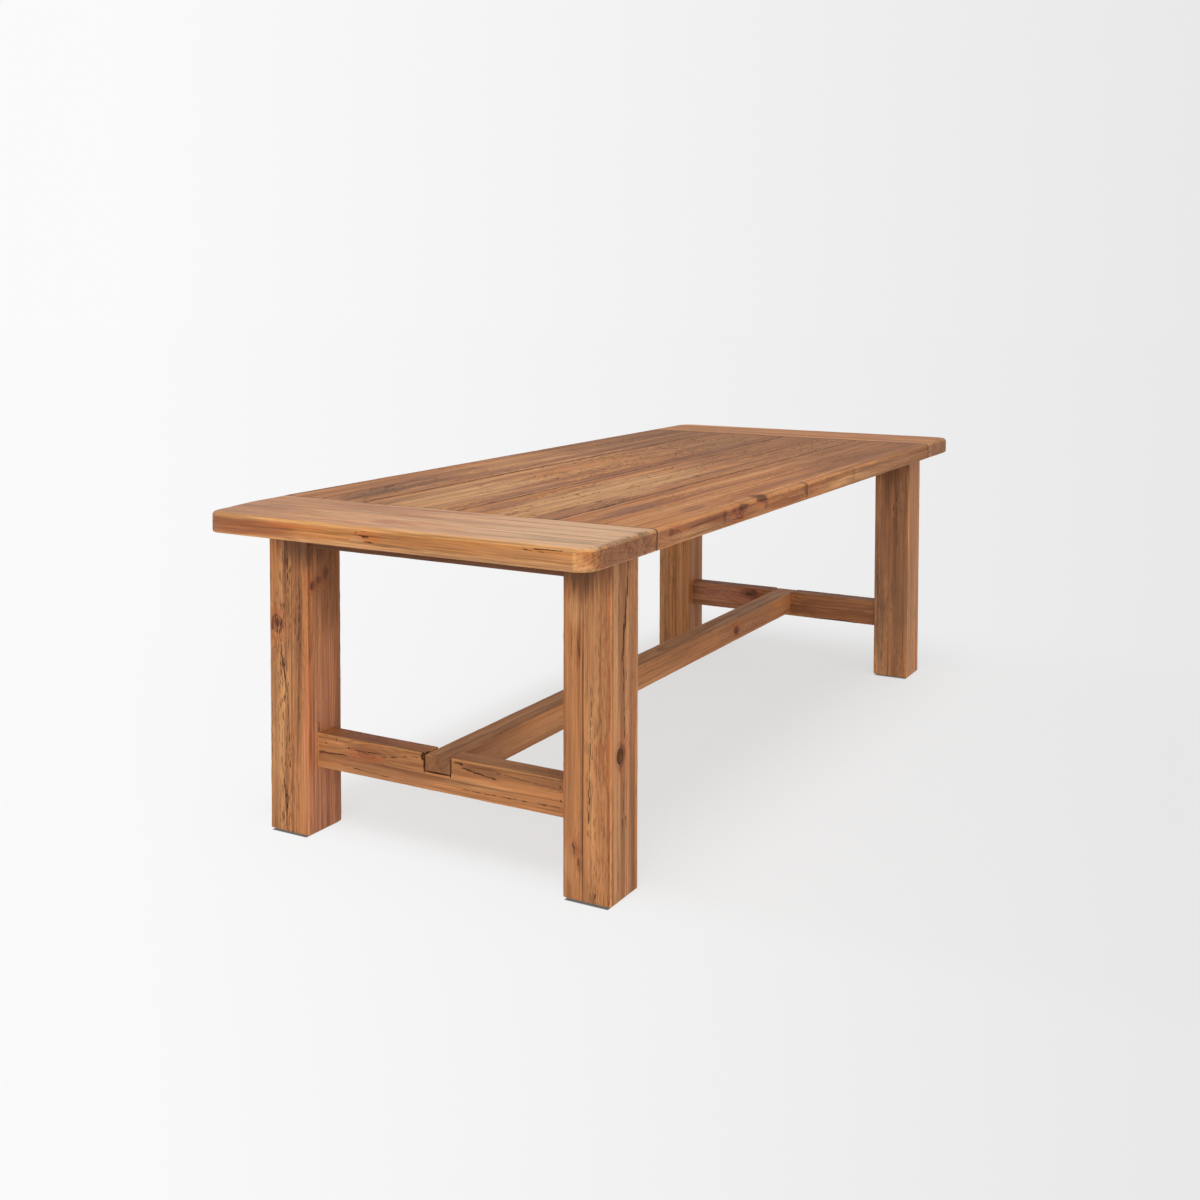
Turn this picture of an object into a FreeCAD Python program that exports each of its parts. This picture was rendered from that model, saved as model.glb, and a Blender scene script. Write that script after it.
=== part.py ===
import FreeCAD, Part
import Sketcher
import math
import os
import re

# Trestle dining table of reclaimed pine, in millimetres.
# +X runs along the table from the near end to the far end, +Y to the left side, +Z up.
# The origin is on the floor under the middle of the top.

doc = FreeCAD.newDocument("TrestleTable")
sheet = doc.addObject("Spreadsheet::Sheet", "Sizes")

sizes = (
    # whole table
    ("table_height", 760),
    ("fit_gap", 0.2),
    ("overrun", 5),
    # top planks, from the left side to the right side
    ("plank_length", 1882),
    ("plank_thickness", 47),
    ("left_outer_plank_width", 240),
    ("left_inner_plank_width", 262),
    ("right_inner_plank_width", 256),
    ("right_outer_plank_width", 242),
    ("top_edge_round", 9),
    ("bottom_edge_round", 7),
    ("joint_ease", 1),
    # tongues on the planks' ends, held in the end boards by pegs
    ("tongue_length", 35),
    ("tongue_thickness", 15),
    ("tongue_setback", 40),
    ("groove_relief", 2),
    ("peg_radius", 5),
    ("peg_cover", 7),
    ("peg_travel", 8),
    ("pin_chamfer", 1),
    # loose splines between the planks
    ("spline_thickness", 8),
    ("spline_depth", 15),
    # end boards; the near left corner is worn away the most
    ("near_board_width", 272),
    ("far_board_width", 246),
    ("near_corner_round", 42),
    ("far_corner_round", 50),
    ("worn_corner_setback", 31),
    ("worn_corner_round", 34),
    ("worn_shoulder_setback", 7),
    ("worn_shoulder_place", 150),
    ("worn_shoulder_round", 280),
    ("worn_joint_setback", 2),
    # legs, each of two staves
    ("leg_width", 114),
    ("inner_stave_width", 48),
    ("leg_end_inset", 171),
    ("leg_side_inset", 49),
    ("leg_edge_round", 3),
    ("foot_round", 4),
    ("glue_line_ease", 0.6),
    ("dowel_radius", 8),
    ("dowel_length", 50),
    ("dowel_inset", 24),
    ("dowel_spacing", 32),
    ("hole_relief", 1),
    # foot glides
    ("glide_radius", 22),
    ("glide_thickness", 2),
    ("glide_edge_ease", 0.8),
    ("nail_radius", 2),
    ("nail_length", 18),
    # end stretchers and the tenons of every rail
    ("end_stretcher_height", 80),
    ("end_stretcher_thickness", 53),
    ("end_stretcher_setback", 30),
    ("end_stretcher_clearance", 154),
    ("rail_edge_round", 3),
    ("tenon_thickness", 20),
    ("tenon_length", 38),
    ("tenon_shoulder", 10),
    # long stretcher and its laps
    ("long_stretcher_width", 68),
    ("long_stretcher_height", 66),
    ("long_stretcher_drop", 2),
    ("lap_depth", 38),
    ("lap_side_gap", 1.5),
    ("lap_end_recess", 1),
    ("lap_edge_ease", 1.5),
    # aprons under the end boards
    ("apron_height", 50),
    ("apron_thickness", 40),
    ("apron_setback", 5),
    ("apron_tenon_haunch", 15),
    ("apron_bolt_offset", 280),
    # bearers along the table
    ("bearer_width", 40),
    ("bearer_height", 50),
    ("bearer_offset", 180),
    ("bearer_tenon_length", 15),
    ("bearer_screw_spacing", 500),
    # cross battens
    ("batten_length", 800),
    ("batten_width", 60),
    ("batten_thickness", 28),
    ("batten_spacing", 500),
    ("batten_bevel", 12),
    ("screw_joint_distance", 45),
    ("screw_outer_distance", 110),
    ("screw_middle_distance", 60),
    # wood screws
    ("screw_radius", 2.5),
    ("screw_grip", 22),
    ("screw_bite", 20),
    ("screw_tip", 6),
    ("screw_head_radius", 6),
    ("screw_head_height", 4),
    ("screw_head_crown", 1.5),
    ("screw_drive_width", 4),
    ("screw_drive_depth", 2.2),
    ("screw_play", 0.6),
    ("screw_travel", 8),
    ("screw_recess_radius", 7.5),
    ("thread_gap", 0.1),
    # hexagon bolts and coach screws, washers and threaded inserts
    ("bolt_radius", 4),
    ("bolt_length", 55),
    ("coach_screw_tip", 8),
    ("bolt_head_width", 13),
    ("bolt_head_height", 5.5),
    ("bolt_play", 0.5),
    ("washer_radius", 9),
    ("washer_thickness", 2),
    ("counterbore_radius", 12),
    ("counterbore_depth", 12),
    ("insert_radius", 6),
    ("insert_length", 20),
)

for row, (alias, value) in enumerate(sizes, start=1):
    sheet.set(f"A{row}", alias)
    sheet.set(f"B{row}", str(value))
    sheet.setAlias(f"B{row}", alias)
doc.recompute()

# sizes and heights that follow from the sheet
top_length = "(near_board_width + plank_length + far_board_width)"
top_width = ("(left_outer_plank_width + left_inner_plank_width"
             " + right_inner_plank_width + right_outer_plank_width)")
underside = "(table_height - plank_thickness)"
leg_height = f"({underside} - glide_thickness)"
rail_length = f"({top_width} - 2 * leg_side_inset - 2 * leg_width)"
screw_length = "(screw_grip + screw_bite)"
stretcher_face = f"({top_length} / 2 - leg_end_inset - end_stretcher_setback)"
stretcher_top = "(end_stretcher_clearance + end_stretcher_height)"

ends = {"near": -1, "far": 1}
sides = {"left": 1, "right": -1}

nodes = []
tolerance = 1e-4


def bind(thing, name, text):
    """Tie a property to the sheet: each plain word in the text is one of its aliases."""
    thing.setExpression(name, re.sub(r"[a-z]\w+", r"Sizes.\g<0>", text))


def place(thing, x="0", y="0", z="0", turn=0):
    upright = FreeCAD.Vector(0, 0, 1)
    thing.Placement = FreeCAD.Placement(FreeCAD.Vector(), FreeCAD.Rotation(upright, turn))
    for axis, text in zip("xyz", (x, y, z)):
        bind(thing, f"Placement.Base.{axis}", text)


def keep(label, thing):
    """Make an object one of the table's nodes."""
    thing.Label = label
    nodes.append(thing)


# sketches

def new_sketch(body, role, lift="0"):
    """A sketch on one of the body's own planes, lifted along its normal."""
    support = next(f for f in body.Origin.OriginFeatures if f.Role == role)
    sketch = body.newObject("Sketcher::SketchObject", body.Name + "_sketch")
    sketch.AttachmentSupport = [(support, "")]
    sketch.MapMode = "FlatFace"
    bind(sketch, "AttachmentOffset.Base.z", lift)
    return sketch


def add_sizes(sketch, dimensions):
    """Add dimensions together: each is the text of its size and the parts of its constraint."""
    constraints = [Sketcher.Constraint(*parts) for text, *parts in dimensions]
    for index, (text, *parts) in zip(sketch.addConstraint(constraints), dimensions):
        bind(sketch, f"Constraints[{index}]", text)


def pin(geometry, point, x, y, start):
    """Two dimensions that hold a point of the sketch at a place, from where it was drawn."""
    return [(x, "DistanceX", -1, 1, geometry, point, start.x),
            (y, "DistanceY", -1, 1, geometry, point, start.y)]


def add_polygon(sketch, points):
    """A closed outline, first drawn round a unit circle and then pinned corner by corner."""
    first = sketch.GeometryCount
    count = len(points)
    angles = [math.tau * i / count for i in range(count)]
    start = [FreeCAD.Vector(math.cos(a), math.sin(a), 0) for a in angles]
    for i in range(count):
        sketch.addGeometry(Part.LineSegment(start[i], start[(i + 1) % count]), False)
    sketch.addConstraint([
        Sketcher.Constraint("Coincident", first + i, 2, first + (i + 1) % count, 1)
        for i in range(count)])
    add_sizes(sketch, [
        size for i, (x, y) in enumerate(points) for size in pin(first + i, 1, x, y, start[i])])


def add_rectangle(sketch, left, bottom, right, top):
    add_polygon(sketch, ((left, bottom), (right, bottom), (right, top), (left, top)))


def add_circle(sketch, x, y, radius):
    circle = sketch.addGeometry(Part.Circle(), False)
    add_sizes(sketch, pin(circle, 3, x, y, FreeCAD.Vector()) + [(radius, "Radius", circle, 1.0)])


def add_slot(sketch, x, y, travel, radius, axis):
    """A slot with round ends along the axis, whose end centres lie the travel apart."""
    tilt = {"x": 0, "y": math.pi / 2}[axis]
    along = FreeCAD.Vector(math.cos(tilt), math.sin(tilt), 0)
    across = FreeCAD.Vector(-math.sin(tilt), math.cos(tilt), 0)
    up = FreeCAD.Vector(0, 0, 1)
    quarter = math.pi / 2
    low_end = Part.ArcOfCircle(Part.Circle(-along, up, 1), tilt + quarter, tilt + 3 * quarter)
    high_end = Part.ArcOfCircle(Part.Circle(along, up, 1), tilt - quarter, tilt + quarter)
    first, second = (sketch.addGeometry(arc, False) for arc in (low_end, high_end))
    right = sketch.addGeometry(Part.LineSegment(-along - across, along - across), False)
    left = sketch.addGeometry(Part.LineSegment(along + across, across - along), False)
    joints = ((first, right), (right, second), (second, left), (left, first))
    sketch.addConstraint([Sketcher.Constraint("Tangent", a, 2, b, 1) for a, b in joints])
    sketch.addConstraint(Sketcher.Constraint("Equal", first, second))
    dimensions = [(radius, "Radius", first, 1.0)]
    for arc, sign in ((first, -1), (second, 1)):
        shift = f" + {sign} * {travel} / 2"
        dimensions += pin(arc, 3, x + shift * (axis == "x"), y + shift * (axis == "y"), along * sign)
    add_sizes(sketch, dimensions)


# features

def pad(body, sketch, length, symmetric=False, reverse=False):
    feature = body.newObject("PartDesign::Pad", body.Name + "_pad")
    feature.Profile = sketch
    feature.SideType = "Symmetric" if symmetric else "One side"
    feature.Reversed = reverse
    bind(feature, "Length", length)
    doc.recompute()


def pocket(body, sketch, depth=None, reverse=False):
    """Cut to a depth against the sketch's normal, or with no depth right through both ways."""
    before = body.Shape.Volume
    feature = body.newObject("PartDesign::Pocket", body.Name + "_pocket")
    feature.Profile = sketch
    if depth is None:
        feature.Type = "ThroughAll"
        feature.SideType = "Symmetric"
    else:
        feature.Reversed = reverse
        bind(feature, "Length", depth)
    doc.recompute()
    if not body.Shape.Volume < before:
        raise RuntimeError(f"{feature.Name} cuts nothing")


def turned_body(name, points):
    """A body turned about its upright axis from a half profile of radii and heights."""
    body = doc.addObject("PartDesign::Body", name + "_body")
    sketch = new_sketch(body, "XZ_Plane")
    add_polygon(sketch, points)
    feature = body.newObject("PartDesign::Revolution", body.Name + "_turned")
    feature.Profile = sketch
    feature.ReferenceAxis = (sketch, ["V_Axis"])
    feature.Angle = 360
    doc.recompute()
    return body


def lies_in(edge, whole, *faces):
    """Whether an edge's box lies in the named faces of the whole's box, such as x- or z+."""
    for axis, side in faces:
        limit = getattr(whole, axis.upper() + {"-": "Min", "+": "Max"}[side])
        low, high = (getattr(edge, axis.upper() + name) for name in ("Min", "Max"))
        if max(abs(low - limit), abs(high - limit)) > tolerance:
            return False
    return True


def runs_along(edge, axis):
    return all(getattr(edge, other.upper() + "Length") < tolerance for other in "xyz" if other != axis)


def dress(body, kind, size, wanted):
    """Fillet or chamfer the edges whose boxes pass the test."""
    base = body.Tip
    whole = base.Shape.optimalBoundingBox(False, False)
    numbered = enumerate(base.Shape.Edges, start=1)
    edges = [f"Edge{number}" for number, edge in numbered if wanted(edge.BoundBox, whole)]
    feature = body.newObject("PartDesign::" + kind, body.Name + "_" + kind.lower())
    feature.Base = (base, edges)
    bind(feature, {"Fillet": "Radius", "Chamfer": "Size"}[kind], size)
    doc.recompute()


def copies(label, source, places):
    """One node of separate copies of a small piece."""
    links = []
    for x, y, z in places:
        link = doc.addObject("App::Link", label + "_copy")
        link.LinkedObject = source
        place(link, x, y, z)
        links.append(link)
    group = doc.addObject("Part::Compound", label + "_group")
    group.Links = links
    keep(label, group)


# where the screws go: battens cross the planks, bearers run under the inner ones

batten_places = {"near": "-1 * batten_spacing", "middle": "0 * batten_spacing", "far": "batten_spacing"}
bearer_screw_places = [f"{share} * bearer_screw_spacing" for share in (-1.5, -0.5, 0.5, 1.5)]


def plank_centre(side, outer):
    """The middle of a plank across the table."""
    edge = f"{top_width} / 2"
    if not outer:
        edge += f" - {side}_outer_plank_width"
    width = f"{side}_{'outer' if outer else 'inner'}_plank_width"
    return f"({sides[side]} * ({edge} - {width} / 2))"


def batten_screw_places(side, outer):
    """Places of a plank's screws, from its own middle line, across the table."""
    sign = sides[side]
    if outer:
        half = f"{side}_outer_plank_width / 2"
        distances = ("screw_joint_distance", "screw_outer_distance")
        return [f"{sign} * ({distance} - {half})" for distance in distances]
    half = f"{side}_inner_plank_width / 2"
    return [f"{sign} * ({half} - screw_joint_distance)", f"{sign} * (screw_middle_distance - {half})"]


# every screw of a batten, from the middle line of the table
across_screw_places = [
    f"{plank_centre(side, outer)} + {distance}"
    for side in sides for outer in (True, False) for distance in batten_screw_places(side, outer)]


# planks

plank_start = f"(near_board_width - tongue_length - {top_length} / 2)"
plank_full_length = "(plank_length + 2 * tongue_length)"
cheek = "(plank_thickness - tongue_thickness) / 2"
tongue_spans = (
    ("-1 * overrun", "tongue_length"),
    (f"{plank_full_length} - tongue_length", f"{plank_full_length} + overrun"),
)


def plank_profile(half, grooved_sides):
    """The section of a plank, with a spline groove in each grooved side."""
    low = "(plank_thickness - spline_thickness) / 2 - fit_gap"
    high = "(plank_thickness + spline_thickness) / 2 + fit_gap"
    points = []
    for sign in (1, -1):
        edge = f"{sign} * {half}"
        floor = f"{sign} * ({half} - spline_depth - fit_gap)"
        groove = []
        if sign in grooved_sides:
            groove = [(edge, low), (floor, low), (floor, high), (edge, high)]
        side_points = [(edge, "0")] + groove + [(edge, "plank_thickness")]
        points += side_points if sign == 1 else side_points[::-1]
    return points


def build_plank(side, outer):
    label = f"plank_{side}_{'outer' if outer else 'inner'}"
    half = f"{side}_{'outer' if outer else 'inner'}_plank_width / 2"
    sign = sides[side]
    body = doc.addObject("PartDesign::Body", label + "_body")
    profile = new_sketch(body, "YZ_Plane")
    add_polygon(profile, plank_profile(half, (-sign,) if outer else (1, -1)))
    pad(body, profile, plank_full_length)
    cheeks = new_sketch(body, "XZ_Plane")
    for start, stop in tongue_spans:
        add_rectangle(cheeks, start, "-1 * overrun", stop, cheek)
        add_rectangle(cheeks, start, f"plank_thickness - {cheek}", stop, "plank_thickness + overrun")
    pocket(body, cheeks)
    if outer:
        setbacks = new_sketch(body, "XY_Plane")
        inside = f"{sign} * ({half} - tongue_setback)"
        outside = f"{sign} * ({half} + overrun)"
        for start, stop in tongue_spans:
            add_rectangle(setbacks, start, inside, stop, outside)
        pocket(body, setbacks)
    peg_slots = new_sketch(body, "XY_Plane")
    for x in ("tongue_length / 2", f"{plank_full_length} - tongue_length / 2"):
        add_slot(peg_slots, x, "0", "peg_travel", "peg_radius + fit_gap", "y")
    pocket(body, peg_slots)
    screw_holes = new_sketch(body, "XY_Plane")
    for y in batten_screw_places(side, outer):
        for x in batten_places.values():
            add_circle(screw_holes, f"{x} - {plank_start}", y, "screw_radius + thread_gap")
    if not outer:
        y = f"{sign} * bearer_offset - {plank_centre(side, outer)}"
        for x in bearer_screw_places:
            add_circle(screw_holes, f"{x} - {plank_start}", y, "screw_radius + thread_gap")
    pocket(body, screw_holes, "screw_bite + hole_relief", reverse=True)
    if outer:
        face = "y+" if sign > 0 else "y-"
        dress(body, "Fillet", "top_edge_round", lambda e, w: lies_in(e, w, "z+", face))
        dress(body, "Fillet", "bottom_edge_round", lambda e, w: lies_in(e, w, "z-", face))
    joints = [face for face in ("y+", "y-") if not outer or face != {1: "y+", -1: "y-"}[sign]]
    dress(body, "Chamfer", "joint_ease", lambda e, w: lies_in(e, w, "z+") and (
        runs_along(e, "y") or any(lies_in(e, w, face) for face in joints)))
    place(body, plank_start, plank_centre(side, outer), underside)
    keep(label, body)


for side in sides:
    for outer in (True, False):
        build_plank(side, outer)


# splines between the planks

def build_spline(label, joint):
    spline = doc.addObject("Part::Box", label + "_box")
    bind(spline, "Length", plank_full_length)
    bind(spline, "Width", "2 * spline_depth")
    bind(spline, "Height", "spline_thickness")
    height = f"{underside} + (plank_thickness - spline_thickness) / 2"
    place(spline, plank_start, f"{joint} - spline_depth", height)
    keep(label, spline)


build_spline("spline_left", f"{top_width} / 2 - left_outer_plank_width")
build_spline("spline_middle", "(right_outer_plank_width + right_inner_plank_width"
             " - left_outer_plank_width - left_inner_plank_width) / 2")
build_spline("spline_right", f"right_outer_plank_width - {top_width} / 2")


# end boards: local x runs outwards from the joint with the planks on the far one

peg_distance = "tongue_length / 2"
apron_centre = "(leg_end_inset + apron_setback + apron_thickness / 2)"
dowel_places = [f"(inner_stave_width + leg_width) / 2 + {sign} * dowel_spacing / 2" for sign in (-1, 1)]


def board_outline(end, width):
    half = f"{top_width} / 2"
    if end == "far":
        return (("0", f"-1 * {half}"), (width, f"-1 * {half}"), (width, half), ("0", half))
    return (
        ("0", f"-1 * {half}"),
        ("0", f"{half} - worn_joint_setback"),
        (f"worn_shoulder_place - {width}", f"{half} - worn_shoulder_setback"),
        (f"-1 * {width}", f"{half} - worn_corner_setback"),
        (f"-1 * {width}", f"-1 * {half}"),
    )


def round_board_corners(body, end):
    """Round the upright edges away from the joint; the near left corner has a worn shoulder."""
    outer_face = "x-" if end == "near" else "x+"
    joint_face = "x+" if end == "near" else "x-"

    def upright(*faces):
        return lambda e, w: runs_along(e, "z") and lies_in(e, w, *faces)

    if end == "far":
        dress(body, "Fillet", "far_corner_round", upright(outer_face))
        return
    dress(body, "Fillet", "near_corner_round", upright(outer_face, "y-"))
    dress(body, "Fillet", "worn_shoulder_round", lambda e, w: runs_along(e, "z") and not (
        lies_in(e, w, outer_face) or lies_in(e, w, joint_face) or lies_in(e, w, "y-")))
    dress(body, "Fillet", "worn_corner_round", lambda e, w: runs_along(e, "z") and
          lies_in(e, w, outer_face) and e.YMin > 0)


def build_end_board(end):
    label = f"end_board_{end}"
    sign = ends[end]
    width = f"{end}_board_width"
    joint_face = "x+" if end == "near" else "x-"
    body = doc.addObject("PartDesign::Body", label + "_body")
    outline = new_sketch(body, "XY_Plane")
    add_polygon(outline, board_outline(end, width))
    pad(body, outline, "plank_thickness")
    round_board_corners(body, end)
    dress(body, "Fillet", "top_edge_round",
          lambda e, w: lies_in(e, w, "z+") and not lies_in(e, w, joint_face))
    dress(body, "Fillet", "bottom_edge_round",
          lambda e, w: lies_in(e, w, "z-") and not lies_in(e, w, joint_face))
    dress(body, "Chamfer", "joint_ease", lambda e, w: lies_in(e, w, "z+", joint_face))
    groove = new_sketch(body, "YZ_Plane")
    reach = f"({top_width} / 2 - tongue_setback + fit_gap)"
    add_rectangle(groove, f"-1 * {reach}", f"{cheek} - fit_gap",
                  reach, f"plank_thickness - {cheek} + fit_gap")
    pocket(body, groove, "tongue_length + groove_relief", reverse=sign > 0)
    peg_holes = new_sketch(body, "XY_Plane")
    for side in sides:
        for outer in (True, False):
            add_circle(peg_holes, f"{sign} * {peg_distance}", plank_centre(side, outer),
                       "peg_radius + fit_gap")
    pocket(body, peg_holes, "plank_thickness - peg_cover + hole_relief", reverse=True)
    dowel_holes = new_sketch(body, "XY_Plane")
    insert_holes = new_sketch(body, "XY_Plane")
    for side_sign in sides.values():
        for distance in dowel_places:
            x = f"{sign} * ({width} - leg_end_inset - dowel_inset)"
            y = f"{side_sign} * ({rail_length} / 2 + {distance})"
            add_circle(dowel_holes, x, y, "dowel_radius + fit_gap")
        x = f"{sign} * ({width} - {apron_centre})"
        add_circle(insert_holes, x, f"{side_sign} * apron_bolt_offset", "insert_radius + thread_gap")
    pocket(body, dowel_holes, "dowel_length / 2 + hole_relief", reverse=True)
    pocket(body, insert_holes, "insert_length + hole_relief", reverse=True)
    place(body, f"{sign} * ({top_length} / 2 - {width})", "0", underside)
    keep(label, body)


for end in ends:
    build_end_board(end)


# legs, each of an outer and an inner stave, standing on glides

def leg_centre(end, side):
    return (f"{ends[end]} * ({top_length} / 2 - leg_end_inset - leg_width / 2)",
            f"{sides[side]} * ({top_width} / 2 - leg_side_inset - leg_width / 2)")


def round_stave(body, glue_face):
    dress(body, "Fillet", "leg_edge_round",
          lambda e, w: runs_along(e, "z") and not lies_in(e, w, glue_face))
    dress(body, "Fillet", "foot_round",
          lambda e, w: lies_in(e, w, "z-") and not lies_in(e, w, glue_face))
    dress(body, "Chamfer", "glue_line_ease",
          lambda e, w: runs_along(e, "z") and lies_in(e, w, glue_face))


def new_stave(label, inner_edge, outer_edge, glue_face):
    body = doc.addObject("PartDesign::Body", label + "_body")
    outline = new_sketch(body, "XY_Plane")
    add_rectangle(outline, "-1 * leg_width / 2", inner_edge, "leg_width / 2", outer_edge)
    pad(body, outline, leg_height)
    round_stave(body, glue_face)
    return body


def build_leg(end, side):
    end_sign = ends[end]
    side_sign = sides[side]
    glue_line = f"{side_sign} * (inner_stave_width - leg_width / 2)"
    x, y = leg_centre(end, side)

    label = f"leg_{end}_{side}_outer_stave"
    outer = new_stave(label, glue_line, f"{side_sign} * leg_width / 2",
                      "y-" if side_sign > 0 else "y+")
    dowel_holes = new_sketch(outer, "XY_Plane", leg_height)
    for distance in dowel_places:
        add_circle(dowel_holes, f"{end_sign} * (leg_width / 2 - dowel_inset)",
                   f"{side_sign} * ({distance} - leg_width / 2)", "dowel_radius + fit_gap")
    pocket(outer, dowel_holes, "dowel_length / 2 + hole_relief")
    nail_hole = new_sketch(outer, "XY_Plane")
    add_circle(nail_hole, "0", "0", "nail_radius + thread_gap")
    pocket(outer, nail_hole, "nail_length + hole_relief", reverse=True)
    place(outer, x, y, "glide_thickness")
    keep(label, outer)

    label = f"leg_{end}_{side}_inner_stave"
    inner = new_stave(label, f"-1 * {side_sign} * leg_width / 2", glue_line,
                      "y+" if side_sign > 0 else "y-")
    mortises = new_sketch(inner, "XZ_Plane", f"{side_sign} * leg_width / 2")
    stretcher_mortise = (
        f"{end_sign} * (leg_width / 2 - end_stretcher_setback - end_stretcher_thickness / 2)",
        "end_stretcher_clearance + tenon_shoulder", f"{stretcher_top} - tenon_shoulder")
    apron_mortise = (
        f"{end_sign} * (leg_width / 2 - apron_setback - apron_thickness / 2)",
        f"{underside} - apron_height + tenon_shoulder", f"{underside} - apron_tenon_haunch")
    half = "(tenon_thickness / 2 + fit_gap)"
    for middle, bottom, top in (stretcher_mortise, apron_mortise):
        add_rectangle(mortises, f"{middle} - {half}", f"{bottom} - glide_thickness - fit_gap",
                      f"{middle} + {half}", f"{top} - glide_thickness + fit_gap")
    pocket(inner, mortises, "tenon_length + hole_relief", reverse=side_sign < 0)
    place(inner, x, y, "glide_thickness")
    keep(label, inner)


for end in ends:
    for side in sides:
        build_leg(end, side)


# rails: local x runs along the rail, local y outwards on the end rails

def tenoned_rail(label, length, height, thickness, tenon, tenon_bottom, tenon_top):
    """A rail lying along x on the local floor, with a tenon on each end."""
    body = doc.addObject("PartDesign::Body", label + "_body")
    elevation = new_sketch(body, "XZ_Plane")
    half = f"{length} / 2"
    add_polygon(elevation, (
        (f"-1 * {half}", "0"), (half, "0"), (half, tenon_bottom), (f"{half} + {tenon}", tenon_bottom),
        (f"{half} + {tenon}", tenon_top), (half, tenon_top), (half, height), (f"-1 * {half}", height),
        (f"-1 * {half}", tenon_top), (f"-1 * ({half} + {tenon})", tenon_top),
        (f"-1 * ({half} + {tenon})", tenon_bottom), (f"-1 * {half}", tenon_bottom)))
    pad(body, elevation, thickness, symmetric=True)
    cheeks = new_sketch(body, "XY_Plane")
    for end_sign in (-1, 1):
        for face_sign in (-1, 1):
            add_rectangle(cheeks, f"{end_sign} * {half}", f"{face_sign} * tenon_thickness / 2",
                          f"{end_sign} * ({half} + {tenon} + overrun)",
                          f"{face_sign} * ({thickness} / 2 + overrun)")
    pocket(body, cheeks)
    dress(body, "Fillet", "rail_edge_round", lambda e, w: runs_along(e, "x") and (
        lies_in(e, w, "y+") or lies_in(e, w, "y-")))
    return body


def drill(body, places, radius, depth, floor="0"):
    """Round holes up from the local floor, or from a height above it."""
    sketch = new_sketch(body, "XY_Plane", floor)
    for x, y in places:
        add_circle(sketch, x, y, radius)
    pocket(body, sketch, depth, reverse=True)


def build_apron(end):
    label = f"apron_{end}"
    body = tenoned_rail(label, rail_length, "apron_height", "apron_thickness",
                        "tenon_length", "tenon_shoulder", "(apron_height - apron_tenon_haunch)")
    bolts = [(f"{sign} * apron_bolt_offset", "0") for sign in (-1, 1)]
    drill(body, bolts, "bolt_radius + bolt_play", "apron_height + overrun")
    drill(body, bolts, "counterbore_radius", "counterbore_depth")
    mortises = new_sketch(body, "XZ_Plane", "apron_thickness / 2")
    half = "(tenon_thickness / 2 + fit_gap)"
    for sign in (-1, 1):
        add_rectangle(mortises, f"{sign} * bearer_offset - {half}", "tenon_shoulder - fit_gap",
                      f"{sign} * bearer_offset + {half}", "bearer_height - tenon_shoulder + fit_gap")
    pocket(body, mortises, "bearer_tenon_length + hole_relief")
    x = f"{ends[end]} * ({top_length} / 2 - {apron_centre})"
    place(body, x, "0", f"{underside} - apron_height", turn=-90 * ends[end])
    keep(label, body)


def build_end_stretcher(end):
    label = f"end_stretcher_{end}"
    body = tenoned_rail(label, rail_length, "end_stretcher_height", "end_stretcher_thickness",
                        "tenon_length", "tenon_shoulder", "(end_stretcher_height - tenon_shoulder)")
    notch = new_sketch(body, "XZ_Plane")
    half = "(long_stretcher_width / 2 + lap_side_gap)"
    add_rectangle(notch, f"-1 * {half}", "end_stretcher_height - lap_depth",
                  half, "end_stretcher_height + overrun")
    pocket(body, notch)
    drill(body, [("0", "0")], "bolt_radius + bolt_play", "end_stretcher_height")
    drill(body, [("0", "0")], "counterbore_radius", "counterbore_depth")
    x = f"{ends[end]} * ({stretcher_face} - end_stretcher_thickness / 2)"
    place(body, x, "0", "end_stretcher_clearance", turn=-90 * ends[end])
    keep(label, body)


for end in ends:
    build_apron(end)
    build_end_stretcher(end)


# long stretcher, lapped over both end stretchers

def build_long_stretcher():
    body = doc.addObject("PartDesign::Body", "long_stretcher_body")
    elevation = new_sketch(body, "XZ_Plane")
    tip = f"({stretcher_face} - lap_end_recess)"
    shoulder = f"({stretcher_face} - end_stretcher_thickness - fit_gap)"
    lap_floor = "(long_stretcher_height + long_stretcher_drop - lap_depth)"
    add_polygon(elevation, (
        (f"-1 * {shoulder}", "0"), (shoulder, "0"), (shoulder, lap_floor), (tip, lap_floor),
        (tip, "long_stretcher_height"), (f"-1 * {tip}", "long_stretcher_height"),
        (f"-1 * {tip}", lap_floor), (f"-1 * {shoulder}", lap_floor)))
    pad(body, elevation, "long_stretcher_width", symmetric=True)
    dress(body, "Fillet", "rail_edge_round", lambda e, w: runs_along(e, "x") and (
        lies_in(e, w, "z+") or lies_in(e, w, "z-")))
    dress(body, "Fillet", "lap_edge_ease", lambda e, w: runs_along(e, "z") and (
        lies_in(e, w, "x+") or lies_in(e, w, "x-")))
    middle = f"({stretcher_face} - end_stretcher_thickness / 2)"
    wood_under_lap = "(end_stretcher_height - lap_depth - counterbore_depth)"
    drill(body, [(f"{sign} * {middle}", "0") for sign in (-1, 1)], "bolt_radius + thread_gap",
          f"bolt_length - washer_thickness - {wood_under_lap} + hole_relief", lap_floor)
    place(body, "0", "0", f"{stretcher_top} - long_stretcher_drop - long_stretcher_height")
    keep("long_stretcher", body)


build_long_stretcher()


# bearers along the table and battens across it

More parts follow.
